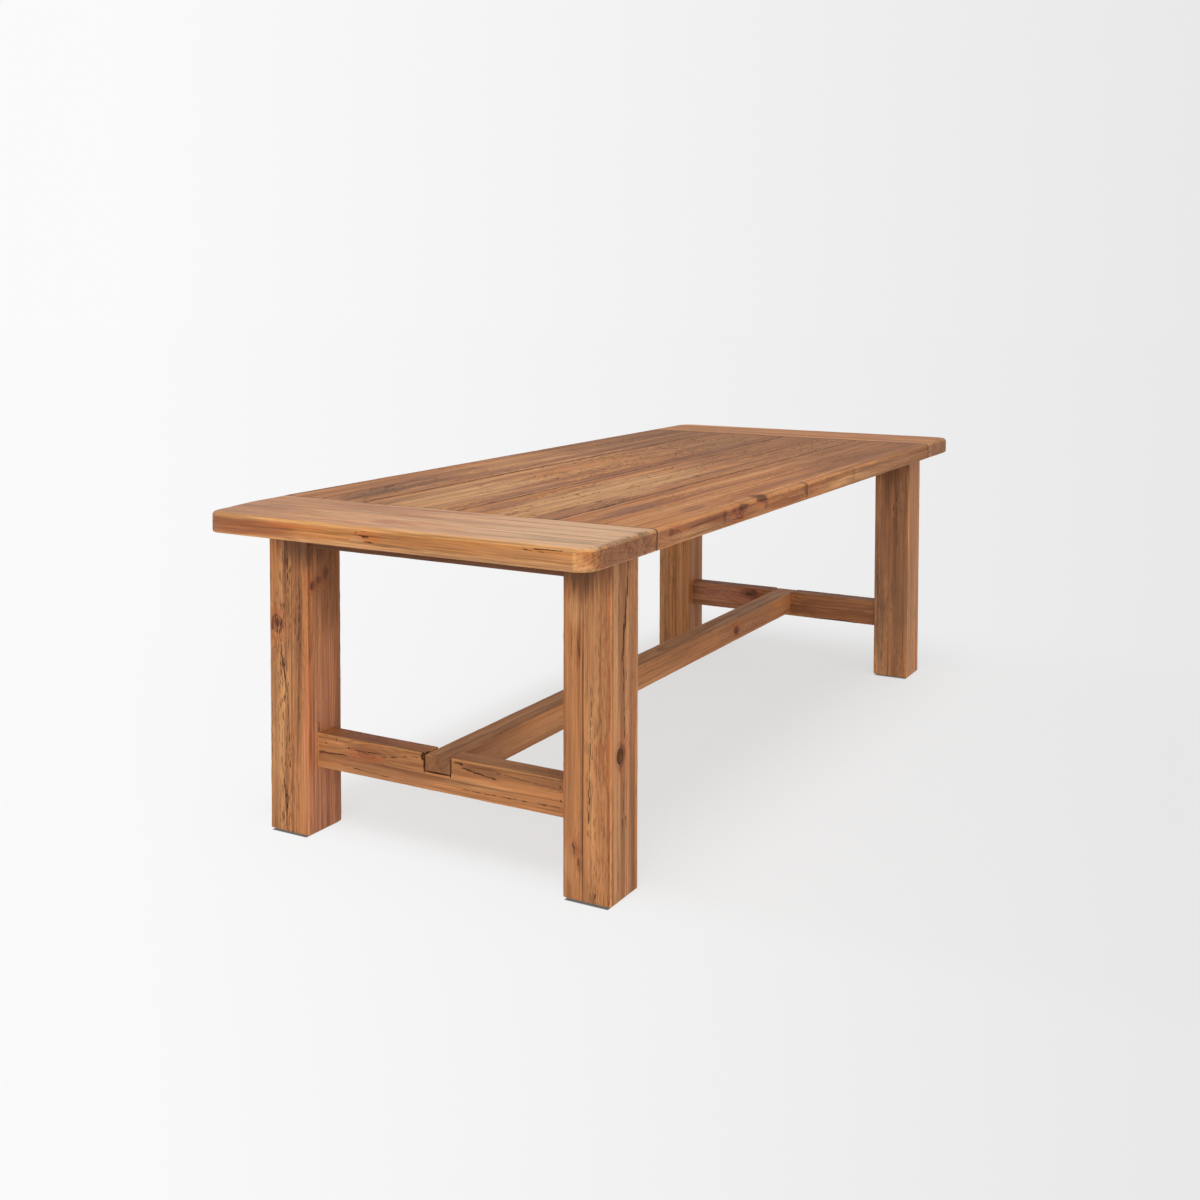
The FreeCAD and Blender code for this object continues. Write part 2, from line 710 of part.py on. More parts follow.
def build_bearer(side):
    label = f"bearer_{side}"
    length = f"({top_length} - 2 * leg_end_inset - 2 * apron_setback - 2 * apron_thickness)"
    body = tenoned_rail(label, length, "bearer_height", "bearer_width",
                        "bearer_tenon_length", "tenon_shoulder", "(bearer_height - tenon_shoulder)")
    notches = new_sketch(body, "XZ_Plane")
    half = "(batten_width / 2 + fit_gap)"
    for x in batten_places.values():
        add_rectangle(notches, f"{x} - {half}", "bearer_height - batten_thickness - fit_gap",
                      f"{x} + {half}", "bearer_height + overrun")
    pocket(body, notches)
    screws = [(x, "0") for x in bearer_screw_places]
    drill(body, screws, "screw_radius + screw_play", "bearer_height")
    drill(body, screws, "screw_recess_radius", "bearer_height - screw_grip")
    place(body, "0", f"{sides[side]} * bearer_offset", f"{underside} - bearer_height")
    keep(label, body)


def build_batten(name, x):
    label = f"batten_{name}"
    body = doc.addObject("PartDesign::Body", label + "_body")
    elevation = new_sketch(body, "XZ_Plane")
    half = "batten_length / 2"
    add_polygon(elevation, (
        (f"batten_bevel - {half}", "0"), (f"{half} - batten_bevel", "0"), (half, "batten_bevel"),
        (half, "batten_thickness"), (f"-1 * {half}", "batten_thickness"),
        (f"-1 * {half}", "batten_bevel")))
    pad(body, elevation, "batten_width", symmetric=True)
    for distance in across_screw_places:
        slot = new_sketch(body, "XY_Plane")
        add_slot(slot, distance, "0", "screw_travel", "screw_radius + screw_play", "x")
        pocket(body, slot)
        recess = new_sketch(body, "XY_Plane")
        add_slot(recess, distance, "0", "screw_travel", "screw_recess_radius", "x")
        pocket(body, recess, "batten_thickness - screw_grip", reverse=True)
    place(body, x, "0", f"{underside} - batten_thickness", turn=90)
    keep(label, body)


for side in sides:
    build_bearer(side)
for name, x in batten_places.items():
    build_batten(name, x)


# pegs, dowels and glides

def pin_profile(radius, length):
    """Half profile of a round pin with chamfered ends, standing on its end."""
    return (("0", "0"), (f"{radius} - pin_chamfer", "0"), (radius, "pin_chamfer"),
            (radius, f"{length} - pin_chamfer"), (f"{radius} - pin_chamfer", length), ("0", length))


peg = turned_body("peg", pin_profile("peg_radius", "(plank_thickness - peg_cover)"))
dowel = turned_body("dowel", pin_profile("dowel_radius", "dowel_length"))
glide = turned_body("glide", (
    ("0", "0"), ("glide_radius - glide_edge_ease", "0"), ("glide_radius", "glide_edge_ease"),
    ("glide_radius", "glide_thickness"), ("nail_radius", "glide_thickness"),
    ("nail_radius", "glide_thickness + nail_length - nail_radius"),
    ("0", "glide_thickness + nail_length")))

for end, sign in ends.items():
    x = f"{sign} * ({top_length} / 2 - {end}_board_width + {peg_distance})"
    copies(f"tongue_pegs_{end}", peg, [
        (x, plank_centre(side, outer), underside) for side in sides for outer in (True, False)])
    for side, side_sign in sides.items():
        x = f"{sign} * ({top_length} / 2 - leg_end_inset - dowel_inset)"
        copies(f"leg_dowels_{end}_{side}", dowel, [
            (x, f"{side_sign} * ({rail_length} / 2 + {distance})", f"{underside} - dowel_length / 2")
            for distance in dowel_places])
        copies(f"foot_glide_{end}_{side}", glide, [leg_centre(end, side) + ("0",)])


# screws, bolts, washers and inserts: each stands on its seat at the local floor

def hexagon(width):
    """Corners of a hexagon of a width across flats."""
    reach = 1 / math.sqrt(3)
    angles = [math.tau * i / 6 for i in range(6)]
    shares = [(reach * math.cos(angle), reach * math.sin(angle)) for angle in angles]
    return [(f"{x_share:.6f} * {width}", f"{y_share:.6f} * {width}") for x_share, y_share in shares]


screw = turned_body("screw", (
    ("0", "-1 * screw_head_height"), ("screw_head_radius - screw_head_crown", "-1 * screw_head_height"),
    ("screw_head_radius", "screw_head_crown - screw_head_height"), ("screw_head_radius", "0"),
    ("screw_radius", "0"), ("screw_radius", f"{screw_length} - screw_tip"), ("0", screw_length)))
drive = new_sketch(screw, "XY_Plane", "-1 * screw_head_height")
add_polygon(drive, hexagon("screw_drive_width"))
pocket(screw, drive, "screw_drive_depth", reverse=True)


def headed_bolt(name, tip_length, tip_radius):
    body = turned_body(name, (
        ("0", "0"), ("bolt_radius", "0"), ("bolt_radius", f"bolt_length - {tip_length}"),
        (tip_radius, "bolt_length"), ("0", "bolt_length")))
    head = new_sketch(body, "XY_Plane")
    add_polygon(head, hexagon("bolt_head_width"))
    pad(body, head, "bolt_head_height", reverse=True)
    return body


def ring(name, inner, outer, height):
    return turned_body(name, ((inner, "0"), (outer, "0"), (outer, height), (inner, height)))


bolt = headed_bolt("bolt", "pin_chamfer", "(bolt_radius - pin_chamfer)")
coach_screw = headed_bolt("coach_screw", "coach_screw_tip", "pin_chamfer")
washer = ring("washer", "bolt_radius + bolt_play", "washer_radius", "washer_thickness")
insert = ring("insert", "bolt_radius + thread_gap", "insert_radius", "insert_length")

for name, x in batten_places.items():
    copies(f"batten_screws_{name}", screw, [
        (x, distance, f"{underside} - screw_grip") for distance in across_screw_places])
for side, sign in sides.items():
    copies(f"bearer_screws_{side}", screw, [
        (x, f"{sign} * bearer_offset", f"{underside} - screw_grip") for x in bearer_screw_places])

# the underside of the washers under the bolts and under the coach screws
bolt_seat = f"{underside} - apron_height + counterbore_depth - washer_thickness"
coach_seat = "end_stretcher_clearance + counterbore_depth - washer_thickness"
for end, sign in ends.items():
    bolt_x = f"{sign} * ({top_length} / 2 - {apron_centre})"
    bolts = [(bolt_x, f"{side_sign} * apron_bolt_offset") for side_sign in sides.values()]
    copies(f"apron_bolts_{end}", bolt, [spot + (bolt_seat,) for spot in bolts])
    copies(f"apron_washers_{end}", washer, [spot + (bolt_seat,) for spot in bolts])
    copies(f"threaded_inserts_{end}", insert, [spot + (underside,) for spot in bolts])
    lap = (f"{sign} * ({stretcher_face} - end_stretcher_thickness / 2)", "0", coach_seat)
    copies(f"coach_screw_{end}", coach_screw, [lap])
    copies(f"coach_washer_{end}", washer, [lap])


# check every object, then write the nodes

doc.recompute()
for thing in doc.Objects:
    if {"Invalid", "Error"} & set(thing.State):
        raise RuntimeError(f"{thing.Name} failed: {thing.State}")
for node in nodes:
    if node.Shape.isNull() or not node.Shape.isValid() or not node.Shape.Solids:
        raise RuntimeError(f"{node.Label} has no valid solid")

os.makedirs("parts", exist_ok=True)
for node in nodes:
    node.Shape.exportStep(f"parts/{node.Label}.step")
print(len(nodes), "nodes,", sum(len(node.Shape.Solids) for node in nodes), "solids")
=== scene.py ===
import math
import random

import bpy
from mathutils import Matrix, Vector


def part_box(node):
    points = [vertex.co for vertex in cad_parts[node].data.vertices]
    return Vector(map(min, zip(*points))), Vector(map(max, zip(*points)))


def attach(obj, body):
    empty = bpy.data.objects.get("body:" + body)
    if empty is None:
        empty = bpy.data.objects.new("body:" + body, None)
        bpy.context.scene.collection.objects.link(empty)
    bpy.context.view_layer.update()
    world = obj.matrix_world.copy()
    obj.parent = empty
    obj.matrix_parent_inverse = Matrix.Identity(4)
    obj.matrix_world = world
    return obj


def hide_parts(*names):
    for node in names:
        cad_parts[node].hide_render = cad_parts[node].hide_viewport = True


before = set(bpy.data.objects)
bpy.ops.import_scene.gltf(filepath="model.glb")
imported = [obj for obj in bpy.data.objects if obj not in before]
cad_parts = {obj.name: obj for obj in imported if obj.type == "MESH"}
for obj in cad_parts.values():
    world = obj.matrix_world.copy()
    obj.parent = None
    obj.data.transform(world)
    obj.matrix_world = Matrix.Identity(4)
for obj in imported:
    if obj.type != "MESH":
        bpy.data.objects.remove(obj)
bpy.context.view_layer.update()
print("frame loaded:", len(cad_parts), "nodes")

# Metres, +X from the near end to the far end, +Y to the left side, +Z up from the floor.


# Short names for making and joining shader nodes.

def plug(tree, value, socket):
    if isinstance(value, bpy.types.NodeSocket):
        tree.links.new(value, socket)
    elif value is not None:
        socket.default_value = value


def addNode(tree, kind, inputs=None, **settings):
    made = tree.nodes.new("ShaderNode" + kind)
    for name, value in settings.items():
        setattr(made, name, value)
    for key, value in (inputs or {}).items():
        plug(tree, value, made.inputs[key])
    return made


def calc(tree, operation, first, second=None, third=None, clamp=False):
    made = addNode(tree, "Math", {0: first, 1: second, 2: third}, operation=operation, use_clamp=clamp)
    return made.outputs[0]


def vectorCalc(tree, operation, first, second=None, scale=None):
    inputs = {0: first, 1: second} if scale is None else {0: first, "Scale": scale}
    made = addNode(tree, "VectorMath", inputs, operation=operation)
    return made.outputs["Value" if operation in ("LENGTH", "DOT_PRODUCT") else "Vector"]


def ease(tree, value, low, high):
    # 0 at low and beyond, 1 at high and beyond, smooth between
    return addNode(tree, "MapRange", {"Value": value, "From Min": low, "From Max": high},
                   interpolation_type="SMOOTHSTEP").outputs["Result"]


def noise(tree, place, stretch, detail=2.0, roughness=0.5):
    # noise round zero, with grains 1/stretch metres long on each axis
    scaled = vectorCalc(tree, "MULTIPLY", place, stretch)
    made = addNode(tree, "TexNoise", {"Vector": scaled, "Scale": 1.0, "Detail": detail,
                                      "Roughness": roughness})
    return calc(tree, "SUBTRACT", made.outputs["Fac"], 0.5)


def mixPaint(tree, share, first, second, blend="MIX"):
    made = addNode(tree, "Mix", data_type="RGBA", blend_type=blend)
    plug(tree, share, made.inputs[0])
    plug(tree, first, made.inputs[6])
    plug(tree, second, made.inputs[7])
    return made.outputs[2]


def newGroup(name, inputs, outputs):
    tree = bpy.data.node_groups.new(name, "ShaderNodeTree")
    for label, kind, value in inputs:
        socket = tree.interface.new_socket(label, in_out="INPUT", socket_type="NodeSocket" + kind)
        if value is not None:
            socket.default_value = value
    for label, kind in outputs:
        tree.interface.new_socket(label, in_out="OUTPUT", socket_type="NodeSocket" + kind)
    return tree, tree.nodes.new("NodeGroupInput").outputs, tree.nodes.new("NodeGroupOutput").inputs


def useGroup(tree, group, inputs):
    made = tree.nodes.new("ShaderNodeGroup")
    made.node_tree = group
    for key, value in inputs.items():
        plug(tree, value, made.inputs[key])
    return made.outputs


def tone(red, green, blue):
    # a colour as it looks on screen, 0 to 255
    shares = (c / 255 for c in (red, green, blue))
    return (*(s / 12.92 if s <= 0.04 else ((s + 0.055) / 1.055) ** 2.4 for s in shares), 1.0)


# Old pine: its tones, and the node groups that paint grain, knots and wear.

woodTones = {
    "honey": tone(186, 124, 74),
    "straw": tone(204, 150, 100),
    "tan": tone(174, 116, 72),
    "amber": tone(190, 112, 54),
    "brown": tone(142, 90, 54),
    "redBrown": tone(140, 78, 44),
    "orange": tone(196, 104, 46),
    "umber": tone(112, 72, 44),
    "greyBrown": tone(104, 76, 56),
    "purpleGrey": tone(122, 82, 66),
    "pale": tone(206, 157, 108),
    "dryStraw": tone(208, 159, 116),
    "bleached": tone(216, 172, 130),
    "oldGold": tone(190, 138, 88),
    "gold": tone(208, 142, 72),
    "rose": tone(200, 132, 104),
    "pit": tone(62, 36, 22),
    "hollow": tone(44, 26, 17),
    "knot": tone(146, 80, 42),
    "halo": tone(170, 84, 44),
    "heart": tone(78, 42, 26),
    "rubbed": tone(214, 156, 96),
}


def makeGrainGroup():
    # growth rings, fibres, streaks, wide bands, blotches, and short pits and pale flecks along the grain
    tree, given, result = newGroup("pineGrain", (
        ("Place", "Vector", None), ("Bulge", "Float", 0.0), ("Pith", "Vector", (0.0, 0.03, -0.09)),
        ("Ring Width", "Float", 0.005), ("Seed", "Float", 0.0)),
        [(label, "Float") for label in ("Rings", "Fibre", "Streak", "Band", "Blotch", "Pits", "Flecks")])
    seedShift = vectorCalc(tree, "SCALE", (17.3, 5.1, 9.7), scale=given["Seed"])
    place = vectorCalc(tree, "ADD", given["Place"], seedShift)

    # distance from the pith of the log, bent by slow and quick waves
    slowWave = noise(tree, place, (1.1, 7.0, 7.0), 1.0)
    quickWave = noise(tree, place, (5.0, 45.0, 45.0))
    fromPith = vectorCalc(tree, "SUBTRACT", given["Place"], given["Pith"])
    across = vectorCalc(tree, "MULTIPLY", fromPith, (0.0, 1.0, 1.0))
    radius = calc(tree, "MULTIPLY_ADD", slowWave, 0.045, vectorCalc(tree, "LENGTH", across))
    radius = calc(tree, "MULTIPLY_ADD", quickWave, 0.0035, radius)
    radius = calc(tree, "ADD", radius, given["Bulge"])
    year = calc(tree, "MULTIPLY", radius, 60.0)
    uneven = addNode(tree, "TexNoise", {"W": year, "Scale": 1.0, "Detail": 1.0},
                     noise_dimensions="1D").outputs["Fac"]
    ring = calc(tree, "MULTIPLY_ADD", uneven, 2.2, calc(tree, "DIVIDE", radius, given["Ring Width"]))
    share = calc(tree, "FRACT", ring)
    lateWood = calc(tree, "MULTIPLY", ease(tree, share, 0.25, 0.86), ease(tree, share, 0.99, 0.88))
    strength = addNode(tree, "TexWhiteNoise", {"W": calc(tree, "FLOOR", ring)},
                       noise_dimensions="1D").outputs["Value"]
    strength = calc(tree, "MULTIPLY_ADD", strength, 0.6, 0.4)
    plug(tree, calc(tree, "MULTIPLY", lateWood, strength), result["Rings"])

    band = noise(tree, place, (0.5, 24.0, 24.0), 3.0, 0.55)
    plug(tree, band, result["Band"])
    plug(tree, noise(tree, place, (14.0, 620.0, 620.0)), result["Fibre"])
    plug(tree, noise(tree, place, (1.9, 95.0, 95.0), 4.0, 0.66), result["Streak"])
    plug(tree, noise(tree, place, (1.9, 9.0, 9.0), 3.0), result["Blotch"])
    dash = noise(tree, place, (48.0, 380.0, 380.0), 1.0)
    cluster = calc(tree, "MULTIPLY_ADD", band, -0.6, noise(tree, place, (2.6, 21.0, 21.0)))
    clustered = ease(tree, cluster, -0.07, 0.10)
    plug(tree, calc(tree, "MULTIPLY", ease(tree, dash, 0.06, 0.17), clustered), result["Pits"])
    plug(tree, calc(tree, "MULTIPLY", ease(tree, dash, -0.07, -0.20), clustered), result["Flecks"])
    return tree


def makeKnotGroup():
    # the parts of a knot, from the distance to its middle as a share of its size
    tree, given, result = newGroup(
        "knotLook", (("Share", "Float", 9.0), ("Place", "Vector", None), ("Heart", "Float", 0.4)),
        [(label, "Float") for label in ("Inside", "Rings", "Heart", "Rim", "Halo")])
    wobble = noise(tree, given["Place"], (38.0, 38.0, 38.0), 2.0)
    fray = noise(tree, given["Place"], (150.0, 150.0, 150.0), 3.0)
    share = calc(tree, "MULTIPLY_ADD", wobble, 0.9, given["Share"])
    share = calc(tree, "MULTIPLY_ADD", fray, 0.4, share)
    plug(tree, ease(tree, share, 1.18, 0.86), result["Inside"])
    waves = calc(tree, "SINE", calc(tree, "MULTIPLY", share, 17.0))
    plug(tree, calc(tree, "MULTIPLY_ADD", waves, 0.5, 0.5), result["Rings"])
    plug(tree, ease(tree, calc(tree, "SUBTRACT", share, given["Heart"]), 0.12, -0.12), result["Heart"])
    fromRim = calc(tree, "ABSOLUTE", calc(tree, "SUBTRACT", share, 1.0))
    plug(tree, ease(tree, fromRim, 0.2, 0.0), result["Rim"])
    plug(tree, ease(tree, share, 3.0, 1.0), result["Halo"])
    return tree


def makePineGroup():
    # grain, marks and wear together
    tree, given, result = newGroup("oldPine", (
        ("Place", "Vector", None), ("Board Place", "Vector", None),
        ("Pith", "Vector", (0, 0.03, -0.09)), ("Ring Width", "Float", 0.005), ("Seed", "Float", 0.0),
        ("Early", "Color", woodTones["honey"]), ("Late", "Color", woodTones["brown"]),
        ("Rings", "Float", 0.6),
        ("Streaks", "Float", 0.6), ("Pits", "Float", 0.5),
        ("Band Tone", "Color", woodTones["purpleGrey"]), ("Bands", "Float", 0.4),
        ("Blotch Tone", "Color", woodTones["greyBrown"]), ("Blotches", "Float", 0.3),
        ("Knot Share", "Float", 9.0), ("Knot Heart", "Float", 0.4), ("Knot Strength", "Float", 0.85),
        ("Rubbed", "Float", 0.6), ("Seam", "Float", 1.0), ("Seam Width", "Float", 0.006),
        ("Seam Strength", "Float", 0.9), ("Dryness", "Float", 0.6)),
        (("Paint", "Color"), ("Figure", "Float"), ("Height", "Float"), ("Roughness", "Float")))
    bulge = calc(tree, "MULTIPLY", ease(tree, given["Knot Share"], 3.4, 0.6), 0.012)
    grain = useGroup(tree, grainGroup, {
        "Place": given["Board Place"], "Bulge": bulge, "Pith": given["Pith"],
        "Ring Width": given["Ring Width"], "Seed": given["Seed"]})
    knot = useGroup(tree, knotGroup, {
        "Share": given["Knot Share"], "Place": given["Place"], "Heart": given["Knot Heart"]})

    lateShare = calc(tree, "MULTIPLY", grain["Rings"], given["Rings"])
    paint = mixPaint(tree, lateShare, given["Early"], given["Late"])
    blotch = calc(tree, "MULTIPLY", ease(tree, grain["Blotch"], -0.08, 0.16), given["Blotches"])
    paint = mixPaint(tree, blotch, paint, given["Blotch Tone"])
    darkBand = calc(tree, "MULTIPLY", ease(tree, grain["Band"], 0.01, 0.13), given["Bands"])
    paint = mixPaint(tree, darkBand, paint, given["Band Tone"])
    paleBand = calc(tree, "MULTIPLY", ease(tree, grain["Band"], -0.01, -0.15), given["Bands"])
    paint = mixPaint(tree, paleBand, paint, woodTones["pale"])
    streak = calc(tree, "MULTIPLY", ease(tree, grain["Streak"], 0.0, 0.17), given["Streaks"])
    paint = mixPaint(tree, streak, paint, woodTones["redBrown"])
    bright = calc(tree, "MULTIPLY_ADD", grain["Streak"], -1.0, 1.0)
    bright = calc(tree, "MULTIPLY_ADD", grain["Band"], -0.35, bright)
    bright = calc(tree, "MULTIPLY_ADD", grain["Fibre"], 0.8, bright)
    paint = vectorCalc(tree, "SCALE", paint, scale=bright)
    streakShade = calc(tree, "MULTIPLY_ADD", streak, 0.4, calc(tree, "MULTIPLY", lateShare, 0.45))
    plug(tree, calc(tree, "SUBTRACT", bright, streakShade), result["Figure"])

    # a knot has a reddish halo, rings round its dark heart and a broken rim
    paint = mixPaint(tree, calc(tree, "MULTIPLY", knot["Halo"], 0.4), paint, woodTones["halo"])
    ringShare = calc(tree, "MULTIPLY", knot["Rings"], 0.6)
    ringed = mixPaint(tree, ringShare, woodTones["knot"], woodTones["heart"])
    ringed = mixPaint(tree, calc(tree, "MULTIPLY", knot["Heart"], 0.85), ringed, woodTones["heart"])
    paint = mixPaint(tree, calc(tree, "MULTIPLY", knot["Inside"], given["Knot Strength"]), paint, ringed)
    rim = calc(tree, "MULTIPLY", knot["Rim"], calc(tree, "MULTIPLY", given["Knot Strength"], 0.55))
    paint = mixPaint(tree, rim, paint, woodTones["heart"])

    # arrises rubbed light, then pits and the joint lines
    ragged = noise(tree, given["Place"], (70.0, 70.0, 70.0), 3.0, 0.6)
    worn = addNode(tree, "Attribute", attribute_name="rubbed").outputs["Fac"]
    worn = ease(tree, calc(tree, "MULTIPLY_ADD", ragged, 1.8, worn), 0.35, 0.95)
    paint = mixPaint(tree, calc(tree, "MULTIPLY", worn, given["Rubbed"]), paint, woodTones["rubbed"])
    flecks = calc(tree, "MULTIPLY", grain["Flecks"], calc(tree, "MULTIPLY", given["Pits"], 0.6))
    paint = mixPaint(tree, flecks, paint, woodTones["rubbed"])
    pits = calc(tree, "MULTIPLY", grain["Pits"], given["Pits"])
    paint = mixPaint(tree, pits, paint, woodTones["pit"])
    openness = noise(tree, given["Place"], (7.0, 7.0, 7.0), 3.0, 0.65)
    seam = calc(tree, "MULTIPLY_ADD", ragged, 0.5, calc(tree, "DIVIDE", given["Seam"], given["Seam Width"]))
    seam = calc(tree, "MULTIPLY_ADD", openness, 2.2, seam)
    seam = ease(tree, seam, 1.0, 0.5)
    paint = mixPaint(tree, calc(tree, "MULTIPLY", seam, given["Seam Strength"]), paint, woodTones["hollow"])
    plug(tree, paint, result["Paint"])

    height = calc(tree, "MULTIPLY_ADD", grain["Rings"], 0.3, calc(tree, "MULTIPLY", grain["Fibre"], 0.6))
    height = calc(tree, "MULTIPLY_ADD", grain["Streak"], 0.8, height)
    height = calc(tree, "MULTIPLY_ADD", pits, -1.5, height)
    plug(tree, height, result["Height"])
    rough = calc(tree, "MULTIPLY_ADD", grain["Streak"], 0.3, given["Dryness"])
    plug(tree, calc(tree, "MULTIPLY_ADD", pits, 0.25, rough, clamp=True), result["Roughness"])
    return tree


grainGroup = makeGrainGroup()
knotGroup = makeKnotGroup()
pineGroup = makePineGroup()

# turns that lay a board's own length along its u, its width along v and its thickness along w
grainTurns = {"x": (0.0, 0.0, 0.0), "y": (0.0, 0.0, math.pi / 2), "z": (0.0, -math.pi / 2, 0.0)}


def nearestShare(tree, place, spots):
    # distance to the nearest of some spots, as a share of its size
    nearest = None
    for centre, size in spots:
        away = vectorCalc(tree, "DIVIDE", vectorCalc(tree, "SUBTRACT", place, centre), size)
        share = vectorCalc(tree, "LENGTH", away)
        nearest = calc(tree, "MINIMUM", nearest, share) if nearest else share
    return nearest


def startMaterial(name):
    # a material with an empty node tree, and the place that its patterns are laid out on
    material = bpy.data.materials.new(name)
    material.use_nodes = True
    tree = material.node_tree
    tree.nodes.clear()
    return material, tree, addNode(tree, "TexCoord").outputs["Object"]


def finishMaterial(material, tree, settings):
    shader = addNode(tree, "BsdfPrincipled", settings).outputs[0]
    addNode(tree, "OutputMaterial", {"Surface": shader})
    return material


def pineMaterial(name, look):
    material, tree, place = startMaterial(name)
    turned = {"Vector": place, "Location": look["middle"], "Rotation": grainTurns[look["grain"]]}
    board = addNode(tree, "Mapping", turned, vector_type="TEXTURE").outputs[0]
    parts = addNode(tree, "SeparateXYZ", {0: place}).outputs
    seam = None
    for axis, value in look.get("seams", ()):
        away = calc(tree, "ABSOLUTE", calc(tree, "SUBTRACT", parts["XYZ".index(axis.upper())], value))
        seam = calc(tree, "MINIMUM", seam, away) if seam else away
    pine = useGroup(tree, pineGroup, {
        "Place": place, "Board Place": board, "Pith": look.get("pith"), "Ring Width": look.get("ringWidth"),
        "Seed": look["seed"], "Early": woodTones[look.get("early", "honey")],
        "Late": woodTones[look.get("late", "brown")], "Rings": look.get("rings"),
        "Streaks": look.get("streaks"), "Pits": look.get("pits"),
        "Band Tone": woodTones[look.get("bandTone", "purpleGrey")], "Bands": look.get("bands"),
        "Blotch Tone": woodTones[look.get("blotchTone", "greyBrown")], "Blotches": look.get("blotches"),
        "Knot Share": nearestShare(tree, place, look.get("knots", ())),
        "Knot Heart": look.get("knotHeart"), "Knot Strength": look.get("knotStrength"),
        "Rubbed": look.get("rubbed"), "Seam": seam, "Seam Width": look.get("seamWidth"),
        "Seam Strength": look.get("seamStrength"), "Dryness": look.get("dryness")})
    paint = pine["Paint"]
    for toneName, strength, centre, size in look.get("patches", ()):
        frayed = noise(tree, board, (6.0, 60.0, 60.0), 3.0, 0.6)
        share = calc(tree, "MULTIPLY_ADD", frayed, 1.6, nearestShare(tree, place, ((centre, size),)))
        stained = vectorCalc(tree, "SCALE", woodTones[toneName][:3], scale=pine["Figure"])
        cover = calc(tree, "MULTIPLY", ease(tree, share, 1.15, 0.55), strength)
        paint = mixPaint(tree, cover, paint, stained)
    bump = addNode(tree, "Bump", {"Height": pine["Height"], "Strength": 0.6, "Distance": 0.0016}).outputs[0]
    return finishMaterial(material, tree, {
        "Base Color": paint, "Roughness": pine["Roughness"], "Normal": bump, "IOR": 1.45,
        "Specular IOR Level": 0.35})


def hollowMaterial():
    # raw dark wood inside cracks, nail holes and pits
    material, tree, place = startMaterial("pine_hollows")
    dirt = noise(tree, place, (180.0, 180.0, 180.0), 4.0, 0.6)
    dirtShare = calc(tree, "MULTIPLY_ADD", dirt, 2.4, 0.25, clamp=True)
    paint = mixPaint(tree, dirtShare, woodTones["umber"], woodTones["pit"])
    bump = addNode(tree, "Bump", {"Height": dirt, "Strength": 0.8, "Distance": 0.002}).outputs[0]
    return finishMaterial(material, tree, {
        "Base Color": paint, "Roughness": 0.85, "Normal": bump, "Specular IOR Level": 0.2})


hollowWood = hollowMaterial()


# Carving: each board is a worn and cracked copy of its exact solid.

def selectOnly(piece):
    bpy.ops.object.select_all(action="DESELECT")
    piece.select_set(True)
    bpy.context.view_layer.objects.active = piece


def editAll(piece):
    selectOnly(piece)
    bpy.ops.object.mode_set(mode="EDIT")
    bpy.ops.mesh.select_all(action="SELECT")


mergeDistance = 0.00001
flatAngle = math.radians(0.5)
cutterUnevenness = 0.0004


def takeBoard(nodeName, material):
    # a copy of the exact board without its stored normals; its loose triangles become flat faces again
    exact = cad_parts[nodeName]
    board = exact.copy()
    board.data = exact.data.copy()
    board.name = nodeName + "_wood"
    board.data.materials.clear()
    board.data.materials.append(material)
    board.data.materials.append(hollowWood)
    bpy.context.scene.collection.objects.link(board)
    editAll(board)
    bpy.ops.mesh.customdata_custom_splitnormals_clear()
    bpy.ops.mesh.remove_doubles(threshold=mergeDistance)
    bpy.ops.mesh.dissolve_limited(angle_limit=flatAngle)
    bpy.ops.object.mode_set(mode="OBJECT")
    return board


def gouge(board, hollows, seed):
    # drying cracks, nail holes, knot hollows and pits, cut out with slightly crooked lens shapes
    bpy.ops.object.select_all(action="DESELECT")
    lenses = []
    for centre, size in hollows:
        bpy.ops.mesh.primitive_uv_sphere_add(segments=10, ring_count=6, location=centre, scale=size)
        lenses.append(bpy.context.active_object)
    for lens in lenses:
        lens.select_set(True)
    bpy.ops.object.join()
    cutter = bpy.context.active_object
    bpy.ops.object.transform_apply(location=True, rotation=True, scale=True)
    editAll(cutter)
    bpy.ops.transform.vertex_random(offset=cutterUnevenness, seed=seed)
    bpy.ops.object.mode_set(mode="OBJECT")
    for inside in board.data.materials:
        cutter.data.materials.append(inside)
    cutter.data.polygons.foreach_set("material_index", [1] * len(cutter.data.polygons))
    selectOnly(board)
    cut = board.modifiers.new("gouges", "BOOLEAN")
    cut.object, cut.solver, cut.use_self = cutter, "EXACT", True
    bpy.ops.object.modifier_apply(modifier=cut.name)
    bpy.data.objects.remove(cutter)


def scatterPits(area, count, size, seed):
    # many small hollows within an area of a face
    chance = random.Random(seed)
    longest = size.index(max(size))
    pits = []
    for _ in range(count):
        stretch = [chance.uniform(0.5, 1.2)] * 3
        stretch[longest] = chance.uniform(0.3, 1.0) ** 2 * 2.2
        centre = [chance.uniform(a, b) for a, b in zip(*area)]
        pits.append((centre, [s * part for s, part in zip(size, stretch)]))
    return pits


crackShape = {"strandStep": 0.0009, "strandLength": 0.016, "widest": 0.0013, "depth": 0.003}


